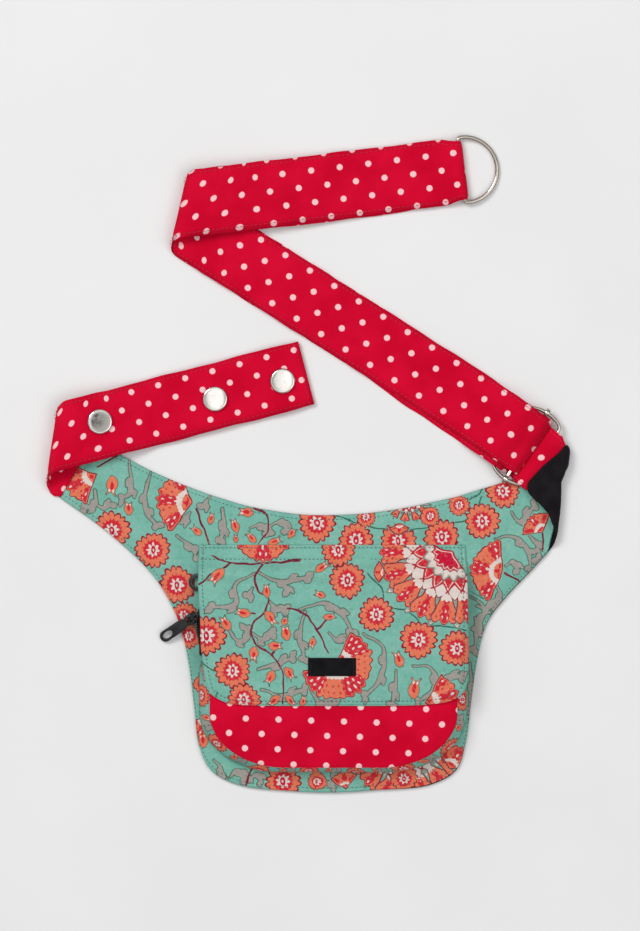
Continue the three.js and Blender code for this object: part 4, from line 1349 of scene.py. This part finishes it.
flap_seams = [on_flap(inset_line(flap_rows, FLAP_SEAM), FLAP_SEAM_LIFT)]
row_x = np.linspace(FLAP_EDGES[0, 1] + FLAP_ROW_IN, FLAP_EDGES[0, 2] - FLAP_ROW_IN, FLAP_ROW_POINTS)
for row_y in FLAP_STITCH_ROWS:
    flap_seams.append(on_flap(np.column_stack([row_x, np.full_like(row_x, row_y)]), FLAP_ROW_LIFT))
row_piece("flap_stitches", THREAD_ROW, flap_seams, STITCH, DARK_THREAD, "bag", "print_cloth")

# Label: a plain woven tag, its ends turned under
LABEL_COLUMNS = 97
LABEL_ROWS = 41
label_columns = np.linspace(LABEL["left"], LABEL["right"], LABEL_COLUMNS)
label_rows = np.linspace(LABEL["high"], LABEL["low"], LABEL_ROWS)
x, y = np.meshgrid(label_columns, label_rows)
to_end = np.minimum(x - LABEL["left"], LABEL["right"] - x)
to_side = np.minimum(y - LABEL["low"], LABEL["high"] - y)
LABEL_LIFT = 0.62
LABEL_SEAM = 1.4
LABEL_SEAM_END = 0.8
LABEL_SEAM_LIFT = 0.2
LABEL_SEAM_POINTS = 20
LABEL_PUFF = 0.25
LABEL_PUFF_RUN = 2.0
LABEL_TURN = 0.3
LABEL_TURN_RUN = 0.8
label_under = flap_height(x, y) + WALL + LABEL_LIFT
label_over = (
    label_under + LABEL["thick"] + LABEL_PUFF * ease(to_end / LABEL_PUFF_RUN)
    - LABEL_TURN * (1 - ease(to_side / LABEL_TURN_RUN)) - LABEL_TURN * (1 - ease(to_end / LABEL_TURN_RUN))
)
label = cloth_piece("label_tag", stacked(x, y, label_over), stacked(x, y, label_under))
dress(label, LABEL_COTTON, "bag", "black_cloth", "label")
label_seams = []
seam_y = np.linspace(LABEL["high"] - LABEL_SEAM_END, LABEL["low"] + LABEL_SEAM_END, LABEL_SEAM_POINTS)
for seam_x in (LABEL["left"] + LABEL_SEAM, LABEL["right"] - LABEL_SEAM):
    seam = np.column_stack([np.full_like(seam_y, seam_x), seam_y])
    label_seams.append(on_flap(seam, LABEL_LIFT + LABEL["thick"] + LABEL_SEAM_LIFT))
LABEL_STITCH = {"Pitch": 1.8, "Long": 1.4, "Wide": 0.35, "Tall": 0.35}
row_piece("label_stitches", THREAD_ROW, label_seams, LABEL_STITCH, BLACK_THREAD, "bag", "black_cloth")

# Zip of the flat compartment, closed, under the flap
BODY_TAPE = {"left": -60.0, "right": 92.0, "high": -66.0, "low": -77.0, "thick": 1.0}
BODY_TAPE_COLUMNS = 121
BODY_TAPE_ROWS = 17
BODY_TAPE_GROOVE = (0.35, 0.6)
BODY_TEETH_IN = 2
BODY_TEETH_POINTS = 60
# Rows of teeth: how far off the middle, and shift along
BODY_TEETH_ROWS = ((0.9, 0.0), (-0.9, 0.75))
x, y = np.meshgrid(np.linspace(BODY_TAPE["left"], BODY_TAPE["right"], BODY_TAPE_COLUMNS),
                   np.linspace(BODY_TAPE["high"], BODY_TAPE["low"], BODY_TAPE_ROWS))
mid = (BODY_TAPE["high"] + BODY_TAPE["low"]) / 2
tape_top = POCKET_FOOT + BODY_TAPE["thick"]
groove = BODY_TAPE_GROOVE[0] * bell(y, mid, BODY_TAPE_GROOVE[1])
body_tape = cloth_piece("body_tape", stacked(x, y, tape_top - groove), stacked(x, y, POCKET_FOOT))
dress(body_tape, TAPE_COTTON, "bag", "black_cloth", "body_zip_tape")
tooth_ends = BODY_TAPE["left"] + BODY_TEETH_IN, BODY_TAPE["right"] - BODY_TEETH_IN
tooth_x = np.linspace(*tooth_ends, BODY_TEETH_POINTS)
body_teeth = [
    np.column_stack([tooth_x + shift, np.full_like(tooth_x, mid + side), np.full_like(tooth_x, tape_top)])
    for side, shift in BODY_TEETH_ROWS
]
BODY_TEETH = {"Pitch": 1.5, "Long": 0.8, "Wide": 1.7, "Tall": 1.0}
row_piece("body_zip_teeth", TOOTH_ROW, body_teeth, BODY_TEETH, TEETH_NYLON, "bag", "black_cloth")


# Straps: a side view along the strap's length, carried across its width, then folded over
# Stations of a strap: place along it, height, shift across and half its width
def fill_in(rows, spacing):
    """Places along a strap between the rows of a table, eased from row to row."""
    filled = [np.array(rows[0], float)[None]]
    for before, after in zip(rows[:-1], rows[1:]):
        before, after = np.array(before, float), np.array(after, float)
        long = math.hypot(after[0] - before[0], after[1] - before[1])
        parts = np.arange(1, max(2, math.ceil(long / spacing)) + 1)[:, None]
        parts = parts / len(parts)
        share = ease(parts)
        line = before + (after - before) * share
        line[:, 0] = before[0] + (after[0] - before[0]) * parts[:, 0]
        filled.append(line)
    return np.vstack(filled)


def strap_points(strap, along, across, height):
    ahead = facing(strap["toward"])
    skewed = along + across * eased(along, *strap["skew"])
    x = strap["at"][0] + skewed * ahead[0] - across * ahead[1]
    y = strap["at"][1] + skewed * ahead[1] + across * ahead[0]
    return roll(np.stack([x, y, height], axis=-1), strap["fold"])


def strap_face(strap, stations, step, across):
    """One face of a strap: across runs over each station's own width, and step is off its middle."""
    lead = leads(stations[:, :2])
    along = np.broadcast_to(stations[:, :1], across.shape) - lead[:, 1:] * step
    height = np.broadcast_to(stations[:, 1:2], across.shape) + lead[:, :1] * step
    return strap_points(strap, along, across, height)


STRAP_COLUMNS = 32
STRAP_SEAM = 2.2
STRAP_LIFT = 0.05
STITCH_OFF = 0.66
STRAP_SEAM_WIDE = 0.7
STRAP_SEAM_DIP = 0.12
STRAP_PUCKERS = (6.5, 0.13)
STRAP_PUCKER_WIDE = 5.5
STRAP_CREASES = (14, 0.22)
STRAP_CREASE_RUN = 5
STRAP_ROUND = 0.9
STRAP_THINNEST = 0.08
RIPPLE_ACROSS = 0.3


def strap_piece(name, strap, stations, seed, dots, dots_scale):
    """A strap of cloth; dots is how far its printed dots are shifted at each station, along and across."""
    stations = np.hstack([stations, dots])
    extra = (len(stations) - 1) % COARSE
    if extra:
        last_steps = np.linspace(stations[-2], stations[-1], COARSE - extra + 2)
        stations = np.vstack([stations[:-1], last_steps[1:]])
    share = np.linspace(-1, 1, STRAP_COLUMNS + 1)[None]
    far = run_lengths(stations[:, :2])[:, None]
    half = stations[:, 3:4]
    wavy = 0.25 * np.sin(far / 9.0 + seed) + 0.12 * np.sin(far / 3.7)
    across = stations[:, 2:3] + share * (half + wavy * np.abs(share) ** 8)
    edge = half * (1 - np.abs(share))
    seam = bell(edge, STRAP_SEAM, STRAP_SEAM_WIDE)
    slow = across * RIPPLE_ACROSS
    pucker = ripple(far, slow, seed, *STRAP_PUCKERS) * bell(edge, STRAP_SEAM, STRAP_PUCKER_WIDE)
    crease = ripple(far, slow, seed + 1, *STRAP_CREASES) * ease(edge / STRAP_CREASE_RUN)
    rounded = 1 - (1 - np.clip(edge / STRAP_ROUND, 0, 1)) ** 2
    thick = STRAP / 2 * np.sqrt(np.clip(rounded, STRAP_THINNEST, 1))
    puff = thick - STRAP_SEAM_DIP * seam + pucker
    upper = strap_face(strap, stations, crease + puff, across)
    lower = strap_face(strap, stations, crease - puff, across)
    for face in (upper, lower):
        np.maximum(face[..., 2], STRAP_LIFT, out=face[..., 2])
    uv = np.stack([far + stations[:, 4:5] + 0 * across, across + stations[:, 5:6]], axis=2)
    return cloth_piece(name, upper, lower, uv=uv * dots_scale), far[-1, 0]


def strap_seams(strap, stations):
    """Stitch lines inside both edges, on both faces."""
    lines = []
    for side in (-1, 1):
        across = stations[:, 2:3] + side * (stations[:, 3:4] - STRAP_SEAM)
        for face in (-1, 1):
            step = np.full(across.shape, face * STITCH_OFF)
            lines.append(strap_face(strap, stations, step, across)[:, 0])
    return lines


STRAP_STEP = 1.2
SNAP_FOLD = {"at": np.array([-151.7, 1.8]), "toward": 172.1, "axis": 6.2, "radius": 5.2, "slip": 8.6}
SNAP_STRAP = {
    "at": (-140.9, -4.5), "toward": 149.7, "fold": SNAP_FOLD,
    "skew": ((0.4, 14, 36, 70), (0, -0.4, -0.4, 0)),
}
SNAP_OVER = 2 * SNAP_FOLD["axis"]
SNAP_EXIT = 30
SNAP_ROWS = (
    (0.4, 1.35, 0, 18.4),
    (11, 1, 0, 20),
    (SNAP_EXIT, 1, 0, 20),
    (SNAP_EXIT + 24, SNAP_OVER - 8.6, 0, 20),
    (SNAP_EXIT + 60, SNAP_OVER - 2.6, 0, 20),
    (SNAP_EXIT + 95.5, SNAP_OVER - 3.6, 0, 20),
    (SNAP_EXIT + 117, SNAP_OVER - 2.4, 0, 20),
    (SNAP_EXIT + 137.8, SNAP_OVER - 3.6, 0, 20),
    (SNAP_EXIT + 153, SNAP_OVER - 2.8, 0, 20),
)
snap_stations = fill_in(SNAP_ROWS, STRAP_STEP)
SNAP_DOTS = (-1.15, 5.8)
SNAP_DOTS_SCALE = 1.03
SNAP_SEED = 41
snap_strap, snap_long = strap_piece(
    "snap_band", SNAP_STRAP, snap_stations, SNAP_SEED, np.tile(SNAP_DOTS, (len(snap_stations), 1)),
    SNAP_DOTS_SCALE,
)
dress(snap_strap, STRAP_COTTON, "bag", "red_cloth", "snap_strap")
STRAP_STITCH = {"Pitch": 2.9, "Long": 2.3, "Wide": 0.42, "Tall": 0.42}
END_SEAM = 2.6
END_SEAM_HALF = 17.5
end_across = np.tile(np.linspace(-END_SEAM_HALF, END_SEAM_HALF, 20), (2, 1))
end_stations = snap_stations[[-1, -1]] - np.outer((END_SEAM, END_SEAM - 0.1), (1, 0, 0, 0))
end_seam = strap_face(SNAP_STRAP, end_stations, np.full_like(end_across, -STRAP / 2), end_across)[0]
snap_seams = strap_seams(SNAP_STRAP, snap_stations) + [end_seam]
row_piece("snap_band_stitches", THREAD_ROW, snap_seams, STRAP_STITCH, RED_THREAD, "bag", "red_cloth")


# Snaps: turned studs through the strap
def turned_shape(profile, steps):
    """A round piece: a profile of radius and height, turned about its axis and closed at both ends."""
    profile = np.asarray(profile, float)
    turn = np.arange(steps) * 2 * math.pi / steps
    ring = np.stack([np.cos(turn), np.sin(turn)], axis=1)
    points = [(0, 0, profile[0, 1])]
    for radius, height in profile[1:-1]:
        points += [(radius * c, radius * s, height) for c, s in ring]
    points.append((0, 0, profile[-1, 1]))
    last = len(points) - 1
    faces = []
    for step in range(steps):
        after = (step + 1) % steps
        faces.append((0, 1 + after, 1 + step))
        for band in range(len(profile) - 3):
            low, high = 1 + band * steps, 1 + (band + 1) * steps
            faces.append((low + step, low + after, high + after, high + step))
        top = 1 + (len(profile) - 3) * steps
        faces.append((top + step, top + after, last))
    return np.array(points, float), faces


SNAP_CAP = 15.5
SNAP_POST = 2.2
SNAP_STEPS = 56
snap_base = STRAP / 2 + 0.12
cap = SNAP_CAP / 2
# Underside: radius, and depth below the strap
SNAP_UNDER = (
    (0, 1.2), (1.9, 1.2), (2.2, 2.4), (4.2, 2.4), (4.8, 2.1), (5.0, 1.6), (5.0, 0), (SNAP_POST, 0),
)
# Cap: how far in from its rim, and height above the strap
SNAP_OUTSIDE = (
    (0.6, 0), (0.2, 0.15), (0, 0.5), (0.12, 1.0), (0.36, 1.45), (0.65, 1.72), (0.9, 1.83), (1.1, 1.87),
    (1.4, 1.888), (3.0, 1.912), (4.8, 1.93), (cap, 1.94),
)
snap_profile = [(radius, -snap_base - deep) for radius, deep in SNAP_UNDER]
snap_profile.append((SNAP_POST, snap_base))
snap_profile += [(cap - inside, snap_base + high) for inside, high in SNAP_OUTSIDE]
snap_points, snap_faces = turned_shape(snap_profile, SNAP_STEPS)


def on_snap_strap(along, across):
    place = np.array([along])
    height = np.interp(place, snap_stations[:, 0], snap_stations[:, 1])
    return strap_points(SNAP_STRAP, place, np.array([across]), height)[0]


def snap_stud(node, along, across):
    """A snap that stands square on the strap."""
    ahead = on_snap_strap(along + 6, across) - on_snap_strap(along - 6, across)
    side = on_snap_strap(along, across - 5) - on_snap_strap(along, across + 5)
    up = Vector(np.cross(ahead, side)).normalized()
    turn = np.array(Vector((0, 0, 1)).rotation_difference(up).to_matrix())
    piece = new_piece(node + "_stud", snap_points @ turn.T + on_snap_strap(along, across), snap_faces)
    return dress(piece, NICKEL, "bag", "nickel", node)


# Each snap: node, place along the strap and across it
SNAPS = (
    ("snap_1", SNAP_EXIT + 24.1, -2.6),
    ("snap_2", SNAP_EXIT + 95.5, 1.5),
    ("snap_3", SNAP_EXIT + 137.8, 1.2),
)
for row in SNAPS:
    snap_stud(*row)

# Adjustable strap: from the right wing through the slide, out to the D-ring and back round the slide's bar
SLIDE = {"x": 131.5, "y": 10.9, "height": 5.7}
SIDE_BAR = 12
WING_SEAM = -16.7
STRAP_TUCK = 2.6
RING_AT = 426.4
RING_HEIGHT = 3.3
RING_HALF = 17.8
FOLD_START = 247.4
FOLD_TOWARD = 167.4
STRAP_TOWARD = 147.8
strap_start = np.array([133.8, 14.5])
ADJUST_FOLD = {
    "at": strap_start + FOLD_START * facing(STRAP_TOWARD), "toward": FOLD_TOWARD,
    "axis": STRAP + LAYER + 2.4, "radius": 3.9, "slip": 7.2,
}
ADJUST_STRAP = {
    "at": strap_start, "toward": STRAP_TOWARD, "fold": ADJUST_FOLD,
    "skew": ((WING_SEAM, 0, 205, 238, 276, 312, RING_AT), (0.178, 0, 0, -0.357, -0.357, 0, 0)),
}
LOW = STRAP / 2
UNDER_BAR = SLIDE["height"] - BAR / 2 - STRAP - 2 * GAP - LOW
OVER_SIDE = SLIDE["height"] + WIRE / 2 + 2 * GAP + LOW
BAR_REACH = BAR / 2 + GAP + LOW
RING_REACH = RING_WIRE / 2 + GAP + LOW
SEWN_END = 22
SEWN_SHIFT = 2.4
SEWN_HALF = 19.3
LOOSE_TURN = 3.4
TURN_STEPS = 13
SEWN_STEPS = 18


def folded_over(height):
    return 2 * ADJUST_FOLD["axis"] - height


OUT_ROWS = (
    (WING_SEAM - STRAP_TUCK, 6.7, 9.4, 17.6),
    (-SIDE_BAR, OVER_SIDE, 7, 19.6),
    (0, UNDER_BAR, 5, 20),
    (SIDE_BAR, OVER_SIDE, 4.6, 20),
    (SEWN_END, 5, 4, 20),
    (40, LOW, 3.6, 20),
    (70, LOW, 2.4, 20),
    (119, LOW, 0, 20),
    (263, LOW, 0, 20),
    (310, folded_over(6.5), 0, 20),
    (372, folded_over(LAYER + LOW), 0, 20),
    (RING_AT - 12, folded_over(LAYER + LOW), 0, 20),
    (RING_AT - 1.5, folded_over(RING_HEIGHT + RING_REACH), 0, RING_HALF),
)
BACK_ROWS = (
    (RING_AT - 1.5, folded_over(RING_HEIGHT - RING_REACH), 0, RING_HALF),
    (RING_AT - 12, folded_over(LOW), 0, 18.8),
    (372, folded_over(LOW), 1.2, 20),
    (310, folded_over(6.5 - LAYER), 1, 20),
    (263, LOW + LAYER, 0, 20),
    (70, LOW + LAYER, 0, 20),
    (40, LOW + LAYER, 0.6, 20),
    (SEWN_END, 5 + 2 * LAYER, 1.2, 20),
    (SIDE_BAR, OVER_SIDE + 2 * LAYER, 1.8, 20),
    (1.5, SLIDE["height"] + BAR_REACH, SEWN_SHIFT, SEWN_HALF),
)


def round_bar(along, height, reach, start, end, shift, half, loose=0.0):
    """A strap's turn round a bar; a loose turn stands off the bar at its upper side."""
    spots = np.array([reach * facing(angle) for angle in np.linspace(start, end, TURN_STEPS)])
    out = loose * ease((1 + spots[:, 1] / reach) / 2)
    sides = np.tile((shift, half), (TURN_STEPS, 1))
    return np.column_stack([along + spots[:, 0] - out, height + spots[:, 1], sides])


out_stations = fill_in(OUT_ROWS, STRAP_STEP)
sewn_along = np.linspace(0.25 * SIDE_BAR, SEWN_END, SEWN_STEPS)
sewn_height = np.interp(sewn_along, out_stations[:, 0], out_stations[:, 1]) + LAYER
sewn_sides = np.tile((SEWN_SHIFT, SEWN_HALF), (SEWN_STEPS, 1))
sewn_stations = np.column_stack([sewn_along, sewn_height, sewn_sides])
WING_DOTS = (1.4, 4.2)
WING_DOTS_TO = 3
OUT_DOTS_FROM = 60
OUT_DOTS = (-2.2, 1.2)
BACK_DOTS = (-0.6, -3.4)
ring_turn = round_bar(RING_AT, folded_over(RING_HEIGHT), RING_REACH, -90, 90, 0, RING_HALF)
bar_turn = round_bar(0, SLIDE["height"], BAR_REACH, 90, 270, SEWN_SHIFT, SEWN_HALF, LOOSE_TURN)
# Runs of the strap in order: stations, and the dots' shift at the start and at the end
adjust_runs = (
    (out_stations, OUT_DOTS, OUT_DOTS),
    (ring_turn, OUT_DOTS, BACK_DOTS),
    (fill_in(BACK_ROWS, STRAP_STEP), BACK_DOTS, BACK_DOTS),
    (bar_turn, BACK_DOTS, BACK_DOTS),
    (sewn_stations, BACK_DOTS, BACK_DOTS),
)
adjust_stations = np.vstack([run for run, _, _ in adjust_runs])
adjust_dots = np.vstack([np.linspace(first, last, len(run)) for run, first, last in adjust_runs])
by_wing = 1 - ease((out_stations[:, :1] - WING_DOTS_TO) / (OUT_DOTS_FROM - WING_DOTS_TO))
adjust_dots[:len(out_stations)] += by_wing * (np.array(WING_DOTS) - OUT_DOTS)
ADJUST_SEED = 47
adjust_strap, adjust_long = strap_piece(
    "adjust_band", ADJUST_STRAP, adjust_stations, ADJUST_SEED, adjust_dots, 1.0,
)
dress(adjust_strap, STRAP_COTTON, "bag", "red_cloth", "adjust_strap")
adjust_seams = strap_seams(ADJUST_STRAP, adjust_stations)
row_piece("adjust_band_stitches", THREAD_ROW, adjust_seams, STRAP_STITCH, RED_THREAD, "bag", "red_cloth")


# Metal pieces: smooth copies of the solids
WELD = 1e-6
FLAT_TURN = 0.02
BEVEL_FROM = 35
SHARP_FROM = 40


def smooth_copy(name, node, bevel, levels, swell):
    """A copy of a solid, with its edges bevelled or its whole shape rounded, and grown by its swell."""
    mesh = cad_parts[node].data.copy()
    mesh.name = name
    mesh.materials.clear()
    work = bmesh.new()
    work.from_mesh(mesh)
    bmesh.ops.remove_doubles(work, verts=work.verts, dist=WELD)
    bmesh.ops.dissolve_limit(work, angle_limit=FLAT_TURN, verts=work.verts, edges=work.edges)
    work.to_mesh(mesh)
    work.free()
    copied = add_object(name, mesh)
    if bevel:
        made = copied.modifiers.new("bevel", "BEVEL")
        made.width = bevel * MM
        made.segments = 2
        made.limit_method = "ANGLE"
        made.angle_limit = math.radians(BEVEL_FROM)
    if levels:
        made = copied.modifiers.new("smooth", "SUBSURF")
        made.levels = made.render_levels = levels
    final = baked(copied, name)
    if swell:
        points = vertex_values(final, "co") + swell * MM * vertex_values(final, "normal")
        final.vertices.foreach_set("co", points.ravel())
        final.update()
    final.shade_smooth()
    if not levels:
        final.set_sharp_from_angle(angle=math.radians(SHARP_FROM))
    return add_object(name, final)


EYE_FROM = 21.6
EYE_RUN = 0.3
EYE_WIDER = 0.95


def widen_eyes(piece):
    """Makes the eyes at the bar's ends as wide as the bar."""
    points = vertex_values(piece.data, "co")
    middle = (np.array([SLIDE["x"], SLIDE["y"]]) + FRAME_SHIFT[:2]) * MM
    along = (points[:, :2] - middle) @ facing(STRAP_TOWARD)
    across = (points[:, :2] - middle) @ facing(STRAP_TOWARD + 90)
    share = EYE_WIDER * ease((np.abs(across) / MM - EYE_FROM) / EYE_RUN)
    points[:, :2] += (share * along)[:, None] * facing(STRAP_TOWARD)
    piece.data.vertices.foreach_set("co", points.ravel())
    piece.data.update()


# Copies: name, node, bevel, levels of rounding, swell, material, body and slot
METAL_COPIES = (
    ("d_ring_wire", "d_ring", 0, 2, 0.12, SHADED_WIRE_NICKEL, "d_ring", "nickel"),
    ("slide_wire", "slide_frame", 0, 2, 0.09, SHADED_WIRE_NICKEL, "bag", "nickel"),
    ("slide_rod", "slide_bar", 0.55, 0, 0.15, SHADED_WIRE_NICKEL, "bag", "nickel"),
    ("pocket_slider", "pocket_zip_slider", 0.25, 0, 0, BLACK_METAL, "bag", "black_metal"),
    ("body_slider", "body_zip_slider", 0.25, 0, 0, BLACK_METAL, "bag", "black_metal"),
    ("pocket_pull", "pocket_zip_pull", 0.3, 0, 0, BLACK_METAL, "pocket_zip_pull", "black_metal"),
    ("body_pull", "body_zip_pull", 0.3, 0, 0, BLACK_METAL, "body_zip_pull", "black_metal"),
)
for name, node, bevel, levels, swell, material, body, slot in METAL_COPIES:
    dress(smooth_copy(name, node, bevel, levels, swell), material, body, slot, node)
widen_eyes(bpy.data.objects["slide_rod"])
